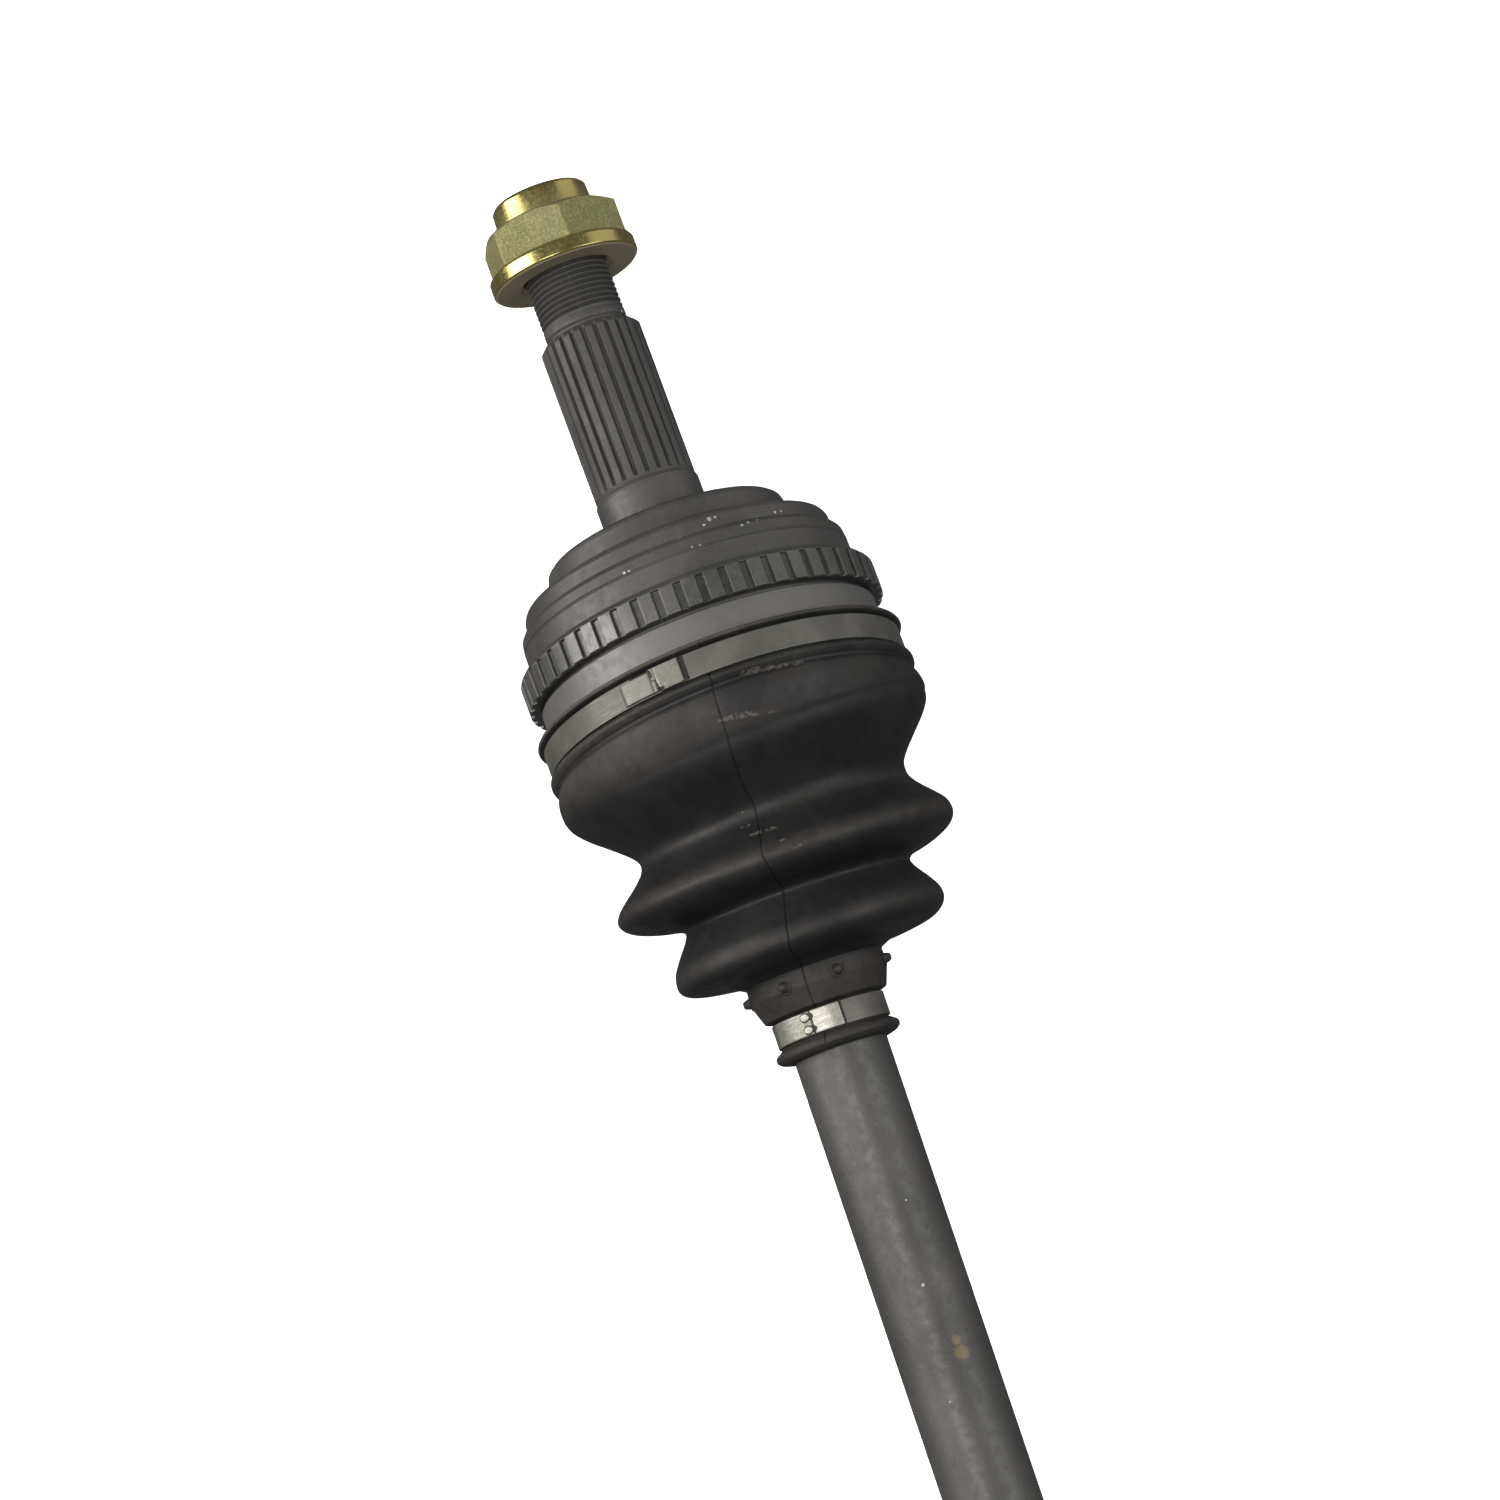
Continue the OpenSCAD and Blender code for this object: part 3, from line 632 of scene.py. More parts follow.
# --------------------------------------------------------------- spindle nut
def make_nut():
    N = 720
    th = ring_angles(N)
    d = (np.degrees(th) + 3.4) % 60 - 30
    hexr = 16.7 / np.cos(np.radians(d))
    corner = 19.28
    hexr = corner - 0.06 * np.log1p(np.exp((corner - 0.05 - hexr) / 0.06))
    top = -127.9 + (hexr - 16.1) * 2.0 / 3.3
    foot = -117.2 + np.maximum(hexr - 18.75, 0) * 0.7 / 0.95
    pts = [
        (-113.4, 11.05, 0.1), (-112.4, 12.6, 0.15), (-112.4, 19.0, 0.35), (-113.1, 19.7, 0.3),
        (-116.4, 19.7, 0.45), (-117.2 + 0.02, np.maximum(18.75, hexr + 0.04), 0.25),
        (foot, hexr, 0.12), (top, hexr, 0.22), (-127.9, 16.1, 0.35),
        (-127.9, 14.5, 0.3), (-128.7, 12.95, 0.45), (-134.2, 12.8, 0.35), (-135.0, 12.0, 0.2),
        (-135.0, 11.6, 0.15), (-129.5, 11.6, 0.2), (-128.9, 11.05, 0.1),
    ]
    rows = rounded(pts, closed=True, N=N)
    X, R = rows[..., 0], rows[..., 1]
    # the thin collar is slightly out of round
    wob = 0.05 * np.cos(2 * th + 0.6) + 0.03 * np.cos(5 * th)
    R = R + np.where((X < -129.5) & (R > 12.0), wob * smoothstep(-129.5, -134.5, X), 0)
    P = WHEEL.at(X, R, np.broadcast_to(th, X.shape))
    L = np.stack([X, R * np.cos(th), R * np.sin(th)], -1)
    polish_and_painted_shade = np.maximum(smoothstep(-128.3, -129.4, X), smoothstep(-117.3, -116.6, X))
    s = Soup().grid(P, L, loop=True, extra=polish_and_painted_shade)
    return s.make("nut_flanged", ZINC, "wheel_end", ["spindle_nut"], "zinc_yellow", extra_name="polish_and_painted_shade")


# -------------------------------------------------- bell, spindle and spline
def spline_angles(teeth, r):
    pitch = 360 / teeth
    k = 13.5 / r
    off = np.array([-5.0, -3.5 * k, -3.05 * k, -2.8 * k, -2.25 * k, -2.0 * k, -1.0, 0, 1.0,
                    2.0 * k, 2.25 * k, 2.8 * k, 3.05 * k, 3.5 * k, 5.0, pitch / 2])
    th = np.concatenate([i * pitch + off for i in range(teeth)])
    return np.radians(np.sort(th % 360))


def tooth_form(th, teeth, r, depth):
    pitch = 360 / teeth
    k = 13.5 / r
    d = np.abs((np.degrees(th) + pitch / 2) % pitch - pitch / 2)
    return r - depth * (1 - smoothstep(2.1 * k, 2.95 * k, d))


def make_bell():
    s = Soup()
    # stub: tip, thread, groove
    th = np.sort(np.concatenate([ring_angles(144), np.radians([186.9, 187.5, 210.5, 211.1])]))
    N = len(th)
    slot = (np.abs(deg_diff(th, 199)) < 11.8).astype(float)
    rows = []

    def row(x, r):
        rows.append(np.stack([np.full(N, float(x)), np.broadcast_to(r, (N,))], -1))

    row(-126.2, 0.0)
    for x, r in ((-126.2, 0.8), (-126.3, 1.5), (-126.6, 1.6), (-130.6, 1.62), (-130.9, 1.7), (-133.0, 3.5), (-133.15, 3.62), (-133.2, 3.75)):
        row(x, r)
    row(-133.2, 8.8)
    for x, r in ((-133.2, 9.3), (-133.18, 9.55), (-133.1, 9.75), (-132.3, 10.6), (-132.0, 10.85), (-131.8, 10.9)):
        row(x, np.where(slot > 0, np.minimum(r, 9.0), r))
    for x in np.arange(-131.6, -125.4, 0.3):
        t = 0.92 * np.clip(np.abs(((x / 1.5 - th / TAU) % 1.0) - 0.5) * 2 * 1.15 - 0.05, 0, 1)
        row(x, np.where(slot > 0, 9.0, 10.95 - 0.8 * (1 - t)))
    row(-125.3, np.where(slot > 0, 9.0, 10.4))
    row(-125.1, 10.4)
    row(-115.2, 10.4)
    for x in np.arange(-115.0, -99.0, 0.125):
        fade = float(smoothstep(-98.6, -100.4, x))
        ph = (x / 1.5 - th / TAU) % 1.0
        tri = np.abs(ph - 0.5) * 2
        h = np.clip((tri * 1.16) - 0.04, 0, 1)
        row(x, 11.0 - 0.92 * (1 - h) * fade)
    for x, r in ((-98.8, 11.0), (-97.1, 11.0), (-96.95, 10.95), (-96.8, 10.8), (-96.55, 10.35), (-96.4, 10.3), (-95.9, 10.3), (-95.75, 10.36), (-95.6, 10.8), (-95.5, 11.2)):
        row(x, r)
    row(-95.45, 0.0)
    lathe(s, WHEEL, np.stack(rows), th)

    # spline with its chamfered start and run-out
    th = spline_angles(26, 13.5)
    N = len(th)
    tooth = tooth_form(th, 26, 13.5, 1.25)
    rows = []
    row(-95.5, 0.0)
    row(-95.5, 10.8)
    row(-95.48, 11.5)
    row(-95.42, 11.75)
    for x in np.concatenate([np.arange(-95.3, -93.2, 0.2), [-93.0, -90.0, -75.0, -60.0, -55.5]]):
        cone = 11.85 + (x + 95.4) * 1.0
        row(x, np.minimum(tooth, np.maximum(cone, 11.8)))
    for x in np.arange(-54.6, -51.5, 0.3):
        t = np.clip((x + 54.6) / 2.9, 0, 1)
        floor = 12.25 + 1.25 * (1 - math.sqrt(max(1 - t * t, 0)))
        row(x, np.maximum(tooth, floor))
    for x, r in ((-51.5, 13.5), (-51.42, 13.45), (-51.3, 13.3), (-51.15, 13.27), (-51.0, 13.3), (-50.6, 13.5), (-49.9, 13.86), (-49.7, 13.9), (-49.3, 13.9)):
        row(x, r)
    row(-49.2, 0.0)
    lathe(s, WHEEL, np.stack(rows), th)

    # collar, hub shoulder, stepped bell, seat and cavity
    N = 288
    th = ring_angles(N)
    pts = [
        (-49.4, 0, 0), (-49.4, 13.9, 0.05), (-39.95, 13.9, 0.25), (-39.8, 20.6, 0.35), (-37.2, 31.0, 1.2),
        (-36.4, 32.0, 0.6), (-35.4, 32.3, 0.6), (-31.2, 32.8, 0.9), (-29.4, 33.6, 0.8), (-28.9, 35.0, 0.35),
        (-28.7, 39.9, 0.7), (-28.2, 41.0, 0.5), (-27.2, 41.5, 0.5), (-23.8, 41.8, 0.4), (-23.3, 42.2, 0.3),
        (-23.1, 43.2, 0.4), (-22.2, 43.9, 0.5), (-19.75, 44.2, 0.12), (-19.35, 43.85, 0.15), (-18.9, 44.2, 0.12),
        (-13.6, 44.3, 0.2), (-13.2, 44.6, 0.1), (-3.7, 44.6, 0.1), (-3.65, 44.0, 0.15), (-2.95, 44.0, 0.15),
        (-2.6, 45.4, 0.25), (4.65, 45.4, 0.2), (5.0, 45.0, 0.15), (15.0, 45.0, 0.3), (16.0, 44.0, 0.3),
    ]
    outer = rounded(pts + [(16.0, 42.2, 0)], N=N)
    # cavity: rays from the joint's centre, to the cage's sphere or the ball tracks
    R, t = 31.2, 9.39
    d60 = np.radians((np.degrees(th) + 30) % 60 - 30 + 0.0)
    off = np.radians((np.degrees(th) - 30 + 30) % 60 - 30)
    inner = []
    for pol in np.concatenate([np.linspace(70, 118, 15), np.linspace(124, 172, 9)]):
        a = math.radians(pol)
        n = np.sin(off) * math.sin(a)
        m_ = np.sqrt(1 - n * n)
        disc = m_ ** 2 * R * R - R * R + t * t
        rho = np.where(disc > 0, m_ * R + np.sqrt(np.maximum(disc, 0)), 0)
        fade = smoothstep(132, 120, pol)
        rho = np.maximum(34.9, 34.9 + (rho - 34.9) * fade)
        inner.append(np.stack([rho * math.cos(a), rho * math.sin(a)], -1))
    x_m = 15.9
    rim = np.maximum(33.4, inner[0][:, 1] * 1.0)
    first = [np.stack([np.full(N, 16.0), rim + 0.3], -1), np.stack([np.full(N, 15.7), rim], -1)]
    inner = first + inner + [np.stack([np.full(N, -34.9), np.zeros(N)], -1)]
    rows = np.concatenate([outer[:-1], np.stack(inner)])
    # forging's slight unevenness ahead of the ring
    X, Rr = rows[..., 0], rows[..., 1].copy()
    w = smoothstep(-24.5, -28.5, X) * smoothstep(-39.6, -37.5, X) * (Rr > 28)
    Rr += w * (0.10 * np.cos(3 * th + 1.0) + 0.07 * np.cos(7 * th + 2.1))
    rows = np.stack([X, Rr], -1)
    lathe(s, WHEEL, rows, th)
    ob = s.make("bell_with_spindle", PAINT_TULIP, "wheel_end", ["outer_joint_housing"], "painted_steel")
    chips = [(709, 519, 0.7), (704, 525, 0.45), (715, 517, 0.4), (742, 525, 0.45), (748, 522, 0.5), (757, 520, 0.35), (775, 512, 0.5),
             (781, 511, 0.35), (692, 547, 0.35), (700, 545, 0.3), (624, 573, 0.5), (629, 571, 0.35), (622, 311, 0.6), (811, 560, 0.3)]
    ob.data.materials[0] = paint_material("forged_bell_paint", chips=marks(ob, WHEEL, chips), spline=True)
    return ob


# --------------------------------------------------------------- toothed ring
def make_ring():
    pitch = 7.2
    off = np.array([0, 0.6, 0.95, 1.08, 1.16, 1.26, 1.36, 1.45, 1.6, 2.5])
    off = np.concatenate([-off[:0:-1], off, [3.6]])
    th = np.radians(np.sort(np.concatenate([(i + 0.5) * pitch + off for i in range(50)]) % 360))
    N = len(th)
    d = np.abs((np.degrees(th)) % pitch - pitch / 2)
    d = np.abs(((np.degrees(th) - 0.5 * pitch + pitch / 2) % pitch) - pitch / 2)
    land = smoothstep(1.10, 1.42, d)
    floor = 47.2
    r_t = floor + (48.2 - floor) * land
    pts = [
        (-12.8, 45.75, 0.1), (-12.8, 46.95, 0.35), (-11.75, 47.95, 0.5), (-11.3, 48.2, 0.12),
        (-11.05, r_t, 0.12), (-3.9, r_t, 0.12), (-3.7, r_t - 0.2, 0.1),
        (-3.7, 44.75, 0.1), (-3.85, 44.62, 0.05), (-11.7, 44.62, 0.05),
    ]
    rows = rounded(pts, closed=True, N=N, n=3, sup=0.08)
    s = Soup()
    lathe(s, WHEEL, rows, th, loop=True)
    return s.make("speed_ring_toothed", RING, "wheel_end", ["tone_ring"], "ring_steel")


# -------------------------------------------------------------------- clamps
def band(soup, fr, r0, r1, x0, x1, crease=()):
    th = np.sort(np.concatenate([ring_angles(300)] + [np.radians(np.array([a - 0.35, a, a + 0.35]) % 360) for a in crease]))
    N = len(th)
    dip = np.zeros(N)
    for a in crease:
        dip += 0.12 * np.exp(-(deg_diff(th, a) / 0.3) ** 2)
    e = 0.14
    pts = [(x0, r0, 0.08), (x1, r0, 0.08), (x1, r1 - dip, e), (x0, r1 - dip, e)]
    lathe(soup, fr, rounded(pts, closed=True, N=N, n=3, sup=0.2), th, loop=True)


def plate(soup, fr, az, xlo, xhi, rbot, rtop, e=0.14, value=0.0):
    """A curved plate between two edges, over the angles az."""
    az = np.asarray(az, float)
    xlo, xhi = np.broadcast_to(xlo, az.shape).astype(float), np.broadcast_to(xhi, az.shape).astype(float)
    rb, rt = np.broadcast_to(rbot, az.shape).astype(float), np.broadcast_to(rtop, az.shape).astype(float)
    xhi = np.maximum(xhi, xlo + 3 * e)
    secs, locs = [], []
    for k in range(len(az)):
        a, b, lo, hi = xlo[k], xhi[k], rb[k], rt[k]
        prof = [(a, lo), (a, hi - e), (a + 0.3 * e, hi - 0.3 * e), (a + e, hi), (a + 3 * e if b - a > 8 * e else a + 1.2 * e, hi),
                (b - 3 * e if b - a > 8 * e else b - 1.2 * e, hi), (b - e, hi), (b - 0.3 * e, hi - 0.3 * e), (b, hi - e), (b, lo)]
        prof = np.array(prof)
        t = math.radians(az[k])
        secs.append(fr.at(prof[:, 0], prof[:, 1], t))
        locs.append(np.stack([prof[:, 0], prof[:, 1] * math.cos(t), prof[:, 1] * math.sin(t)], -1))
    soup.strip(np.stack(secs), np.stack(locs), value)


def round_end(az, a0, a1, half, r):
    """Half width of a strip with round ends, at the angles az."""
    s = np.minimum(az - a0, a1 - az) * math.pi / 180 * r
    k = np.clip(1 - s / half, 0, 1)
    return half * np.sqrt(np.maximum(1 - k * k, 0.02))


def ribbon(soup, fr, path, r, width=0.34, height=0.12, value=-1.0):
    """A thin near-black ribbon along (angle, station) points, drawn on a curved plate: painted shade standing for a
    gap.
    """
    path = np.array(path, float)
    d = np.gradient(np.stack([np.radians(path[:, 0]) * r, path[:, 1]], -1), axis=0)
    d /= np.linalg.norm(d, axis=1, keepdims=True)
    secs, locs = [], []
    for (az, x), (da, dx) in zip(path, d):
        nor = np.array((-dx, da)) * width / 2
        sec, lc = [], []
        for k, h in ((-1, -0.2), (-1, height), (1, height), (1, -0.2)):
            t = math.radians(az) + k * nor[0] / r
            xx, rr = x + k * nor[1], r + h
            sec.append(fr.at(np.array(xx), np.array(rr), np.array(t)))
            lc.append((xx, rr * math.cos(t), rr * math.sin(t)))
        secs.append(sec)
        locs.append(lc)
    soup.strip(np.array(secs), np.array(locs), value)


def curve(points, n=6):
    keys = np.array(points, float)[:, None, :]
    return catmull(keys, [n] * (len(points) - 1))[:, 0]


def make_large_clamp(fr, r, x0, x1, name, body, node):
    s = Soup()
    t = 0.85
    band(s, fr, r, r + t, x0, x1)
    w = x1 - x0
    mid = (x0 + x1) / 2
    rr = r + t
    low = rr - 0.3
    high = 1.08
    # near-black plate, a painted shadow beside the block's step, then the folded block, which ends further on in one
    # half of the band than in the other
    plate(s, fr, np.linspace(196.9, 198.7, 5), x0 + 0.1, x1 - 0.1, low, rr + 0.06, value=-1.0)
    az = np.concatenate([[198.5, 198.65, 199.0], np.linspace(199.5, 206.7, 10)])
    lift = np.where(az < 198.6, high - 0.12, high)
    plate(s, fr, az, x0 + 0.15, x1 - 0.15, low, rr + lift, value=0.25)
    plate(s, fr, np.linspace(206.6, 208.0, 4), x0 + 0.15, mid, low, rr + high - 0.01, value=0.25)
    # rolled lower edge of the block
    plate(s, fr, np.linspace(198.9, 206.0, 9), x1 - 0.5, x1 - 0.02, low, rr + high + 0.08, value=0.2)
    # the other end hooks into it
    az = np.concatenate([np.linspace(208.2, 217.9, 12), [218.5, 219.0]])
    lift = 0.92 - 0.5 * smoothstep(217.6, 219.0, az)
    plate(s, fr, az, x0 + 0.75, x1 - 0.35, low, rr + lift, value=0.20)
    plate(s, fr, np.linspace(206.9, 208.3, 4), mid, x1 - 0.35, low, rr + 0.91, value=0.20)
    # the seam between the two shows near the edges only, drawn as near-black ribbons: painted shade in the gap
    gap = curve([(208.6, x0 + 0.2), (207.9, x0 + 0.10 * w), (207.6, x0 + 0.24 * w), (207.7, x0 + 0.38 * w)])
    ribbon(s, fr, gap, rr + high - 0.06, width=0.5)
    gap = curve([(206.8, x0 + 0.66 * w), (206.6, x0 + 0.78 * w), (206.3, x1 - 0.8)], 4)
    ribbon(s, fr, gap, rr + high - 0.06, width=0.4)
    # near-black ribbon: painted shadow beside the rolled lower edge
    ribbon(s, fr, curve([(206.9, x1 - 0.62), (205.9, x1 - 0.55), (204.9, x1 - 0.6)], 4), rr + high + 0.06, width=0.75)
    # near-black ribbon: painted shadow along the edge of the hooking end
    ribbon(s, fr, curve([(209.2, x0 + 0.4), (211.0, x0 + 0.42), (213.2, x0 + 0.5), (215.0, x0 + 0.62)], 5), rr + 0.1, width=0.8, height=0.1)
    return s.make(name, CLAMP, body, [node], "clamp_steel", extra_name="polish_and_painted_shade")


def make_small_clamp(fr, r, x0, x1, name, body, node):
    s = Soup()
    t = 0.75
    band(s, fr, r, r + t, x0, x1)
    rr, low, mid = r + t, r + t - 0.3, (x0 + x1) / 2
    # near-black plate, a painted shadow beside the block, and the bright block beside it
    plate(s, fr, np.linspace(174.6, 178.2, 5), x0 + 0.08, x1 - 0.08, low, rr + 0.05, value=-0.8)
    az = np.concatenate([[177.4, 177.8], np.linspace(178.4, 206.0, 20)])
    lift = np.where(az < 177.6, 0.5, 0.66)
    plate(s, fr, az, x0 + 0.05, x1 - 0.05, low, rr + lift, value=0.8)
    # the left plate, narrowing and dropping at its far end
    az = np.concatenate([np.linspace(207.6, 255.0, 28), [256.4, 257.0]])
    lift = 0.50 - 0.3 * smoothstep(254.0, 257.0, az)
    ins = 0.8 * smoothstep(253.5, 257.0, az)
    plate(s, fr, az, x0 + 0.05 + ins, x1 - 0.05 - ins, low, rr + lift, value=0.5)
    for v in (-1.65, 1.65):
        # a near-black notch of painted shade, then the pin's round head with a painted shadow round it
        az = np.linspace(203.7, 209.6, 14)
        half = round_end(az, 203.7, 400.0, 0.95, rr)
        plate(s, fr, az, mid + v - half, mid + v + half, low, rr + 0.69, value=-1.0)
        az = np.linspace(208.0, 218.0, 24)
        half = round_end(az, 208.0, 218.0, 1.34, rr)
        plate(s, fr, az, mid + v - half, mid + v + half, low, rr + 0.54, value=-0.7)
        az = np.linspace(208.4, 216.8, 24)
        half = round_end(az, 208.4, 216.8, 1.05, rr)
        plate(s, fr, az, mid + v - half, mid + v + half, low, rr + 0.84, e=0.22, value=0.85)
    return s.make(name, CLAMP, body, [node], "clamp_steel", extra_name="polish_and_painted_shade")


# --------------------------------------------------------------------- boots
def catmull(keys, steps):
    """Smooth rows through key rings (k, N, 3), with a number of steps in each span."""
    out = []
    for i in range(len(keys) - 1):
        a, b = keys[max(i - 1, 0)], keys[i]
        c, d = keys[i + 1], keys[min(i + 2, len(keys) - 1)]
        for k in range(steps[i]):
            t = k / steps[i]
            out.append(0.5 * (2 * b + (c - a) * t + (2 * a - 5 * b + 4 * c - d) * t * t + (3 * b - a - 3 * c + d) * t ** 3))
    out.append(keys[-1])
    return np.stack(out)


def surface_normals(P):
    """Outward normals of a tube of rows (rows, N, 3), rows running along +X."""
    du = np.gradient(P, axis=0)
    dv = np.roll(P, -1, axis=1) - np.roll(P, 1, axis=1)
    n = np.cross(dv, du)
    n /= np.maximum(np.linalg.norm(n, axis=-1, keepdims=True), 1e-12)
    mid = P.mean(axis=1, keepdims=True)
    if ((P - mid) * n).sum() < 0:
        n = -n
    return n


def boot_columns(rad, seam, groove=0.45):
    """Angles (rows, N): even columns, with a few close ones at the two mould seams."""
    half = np.array([0.0, 0.12, 0.24, 0.36, 0.6, 1.0])
    out = []
    for r, s in zip(rad, seam):
        w = half / r
        even = np.linspace(w[-1], math.pi - w[-1], 206)[1:-1]
        one = np.concatenate([w, even, math.pi - w[::-1]])[:-1]
        left = math.pi + np.concatenate([w, even, math.pi - w[::-1]])[:-1]
        out.append(np.radians(s) + np.concatenate([one, left]))
    return np.array(out)


def boot_pieces(name, P, L, inner_gap, cuts, dust_and_painted_light, mat, node, bodies, spans, slot, seats=()):
    """Cuts a boot's rows into bands, each a closed shell of its own."""
    n = surface_normals(P)
    Q = P - n * (inner_gap[:, None, None] * MM)
    # under a clamp the inside is the plain bore of the seat
    for rows, bore in seats:
        Q[rows] = bore
    made = []
    for k, (i0, i1) in enumerate(cuts):
        rows = np.concatenate([P[i0 : i1 + 1], Q[i0 : i1 + 1][::-1]])
        nor = np.concatenate([n[i0 : i1 + 1], -n[i0 : i1 + 1][::-1]])
        loc = np.concatenate([L[i0 : i1 + 1], L[i0 : i1 + 1][::-1]])
        du = np.concatenate([dust_and_painted_light[i0 : i1 + 1], dust_and_painted_light[i0 : i1 + 1][::-1]])
        m = i1 - i0 + 1
        s = Soup().grid(rows, loc, loop=True, normals=nor, flat_rows=(m - 1, 2 * m - 1), extra=du)
        ob = s.make(f"{name}_{k + 1}", mat, slot=slot, use_normals=True, extra_name="dust_and_painted_light")
        if spans[k] is None:
            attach(ob, bodies[k])
        else:
            a, b, st, en = spans[k]
            tuple(st)
            tuple(en)
            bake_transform(ob)
        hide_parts(node)
        made.append(ob)
    return made


def make_outer_boot():
    # the columns' base angles at each key ring come from the ring's mean radius
    A99 = math.radians(99.3)
    wheel_pts = [(5.22, 45.2, 0), (5.3, 48.6, 0.25), (5.55, 49.35, 0.3), (6.0, 49.66, 0.3), (6.45, 49.35, 0.3), (6.85, 48.3, 0.35), (7.25, 47.6, 0.2),
                 (14.55, 47.6, 0.2), (14.9, 48.8, 0.4), (15.6, 49.55, 0.5), (16.5, 49.55, 0.5), (17.3, 48.9, 0.5), (17.9, 48.2, 0.4), (18.6, 48.1, 0.4), (19.6, 48.7, 0)]
    wrows = rounded(wheel_pts, n=3, sup=0.2, N=1)[:, 0]
    # thin the rows that lie almost on each other
    keep = [0]
    for i in range(1, len(wrows)):
        if np.linalg.norm(wrows[i] - wrows[keep[-1]]) > 0.08 or i == len(wrows) - 1:
            keep.append(i)
    wrows = wrows[keep]
    seat = []
    for i in range(len(wrows) - 1):
        gap = np.linalg.norm(wrows[i + 1] - wrows[i])
        k = max(1, int(gap / 0.8))
        for j in range(k):
            seat.append(wrows[i] + (wrows[i + 1] - wrows[i]) * j / k)
    seat.append(wrows[-1])
    wrows = np.array(seat)

    def seam_at(x):
        return np.interp(x, [10, 17, 35, 60, 75, 90, 105], [190.6, 191, 195, 195, 197, 199, 199.6])

    ths = boot_columns(wrows[:, 1], seam_at(wrows[:, 0]))
    part1 = WHEEL.at(wrows[:, :1], wrows[:, 1:], ths)

    # bar rings: station, radius, then tilt and shift by station
    tilt_at = lambda x: np.interp(x, [23.4, 41.65, 54.45, 63, 75, 82.3], [2.66, 1.8, 0.94, 0, 0.63, 0])
    shift_at = lambda x: np.interp(x, [23.4, 41.65, 54.45, 63, 75, 82.3], [0.87, 2.6, 1.6, 2.2, 1.5, 0])
    bar_pts = [(23.4, 49.99), (26.6, 48.9), (30.4, 46.0), (34.0, 42.2), (37.2, 38.9), (39.6, 36.9), (41.65, 36.3), (43.9, 36.9),
               (46.6, 39.1), (49.6, 42.3), (52.0, 44.6), (54.45, 45.6), (56.7, 44.9), (58.7, 42.4), (60.4, 38.0), (61.5, 33.2),
               (63.0, 30.5), (65.4, 31.3), (69.0, 33.9), (72.2, 35.9), (75.0, 36.4), (77.1, 35.6), (78.7, 33.2),
               (79.7, 28.4), (80.5, 22.2), (82.3, 18.3)]

    def soft_min(a, b, k=0.6):
        return -np.log(np.exp(-k * a) + np.exp(-k * b)) / k

    keys, cols = [part1[-1]], [ths[-1]]

    def bar_ring(x, r, margin):
        th = boot_columns([r], [seam_at(x)])[0]
        tilt, sh = tilt_at(x), shift_at(x)
        xs = x - r * math.tan(math.radians(tilt)) * np.cos(th - A99)
        px, pd, ps = xs, r * np.cos(th) + sh * math.cos(A99), r * np.sin(th) + sh * math.sin(A99)
        rad = np.hypot(pd, ps)
        if margin is not None:
            rho = np.hypot(px, rad)
            al = np.degrees(np.arctan2(rad, px))
            lip = 68.1 - 10 * np.cos(th)
            al = np.radians(soft_min(al, lip - margin))
            px, rad = rho * np.cos(al), rho * np.sin(al)
            sc = rad / np.hypot(pd, ps)
            pd, ps = pd * sc, ps * sc
        p = BAR.o + MM * (px[:, None] * BAR.z + pd[:, None] * BAR.x + ps[:, None] * BAR.y)
        return p, th

    crest, cth = bar_ring(23.4, 49.99, 3.5)
    rim = part1[-1]
    for f, rho in ((0.15, 53.25), (0.35, 54.0), (0.6, 54.7), (0.85, 55.15)):
        d = (rim - BAR.o) * (1 - f) + (crest - BAR.o) * f
        d /= np.linalg.norm(d, axis=1, keepdims=True)
        keys.append(BAR.o + d * rho * MM)
        cols.append(ths[-1])
    keys.append(crest)
    cols.append(cth)
    margins = {1: 5.2, 2: 7.0, 3: 8.5, 4: 9.0}
    for i, (x, r) in enumerate(bar_pts[1:], 1):
        p, t = bar_ring(x, r, margins.get(i))
        keys.append(p)
        cols.append(t)
    steps = []
    for a, b in zip(keys[:-1], keys[1:]):
        steps.append(max(2, int(np.linalg.norm(b - a, axis=1).max() / MM / 0.65)))
    body = catmull(keys, steps)
    kc = catmull(np.stack(cols)[..., None], steps)[..., 0]

    # neck, clamp seat and end
    neck_pts = [(82.3, 18.3, 0), (84.0, 18.35, 1.0), (86.6, 18.4, 1.5), (89.2, 17.5, 1.5), (92.0, 16.5, 0.5),
                (92.8, 14.32, 0.3), (99.6, 14.32, 0.3), (100.0, 14.9, 0.4), (101.0, 16.35, 0.6), (101.6, 16.72, 0.5), (102.6, 16.6, 0.6), (103.4, 15.6, 0.7), (103.9, 14.0, 0.5), (104.0, 12.8, 0)]
    nrows = rounded(neck_pts, n=3, sup=0.2, N=1)[:, 0]
    fine = []
    for i in range(len(nrows) - 1):
        gap = np.linalg.norm(nrows[i + 1] - nrows[i])
        lim = 0.22 if 82.9 < nrows[i, 0] < 88.6 else 0.8
        if gap < 0.04:
            continue
        k = max(1, int(gap / lim))
        for j in range(k):
            fine.append(nrows[i] + (nrows[i + 1] - nrows[i]) * j / k)
    fine.append(nrows[-1])
    nrows = np.array(fine[1:])
    nth = boot_columns(nrows[:, 1], seam_at(nrows[:, 0]))
    neck = BAR.at(nrows[:, :1], nrows[:, 1:], nth)

    P = np.concatenate([part1, body[1:], neck])
    TH = np.concatenate([ths, kc[1:], nth])
    loc = BAR.local(P)
    n = surface_normals(P)
    x = loc[..., 0]
    rad = np.hypot(loc[..., 1], loc[..., 2])
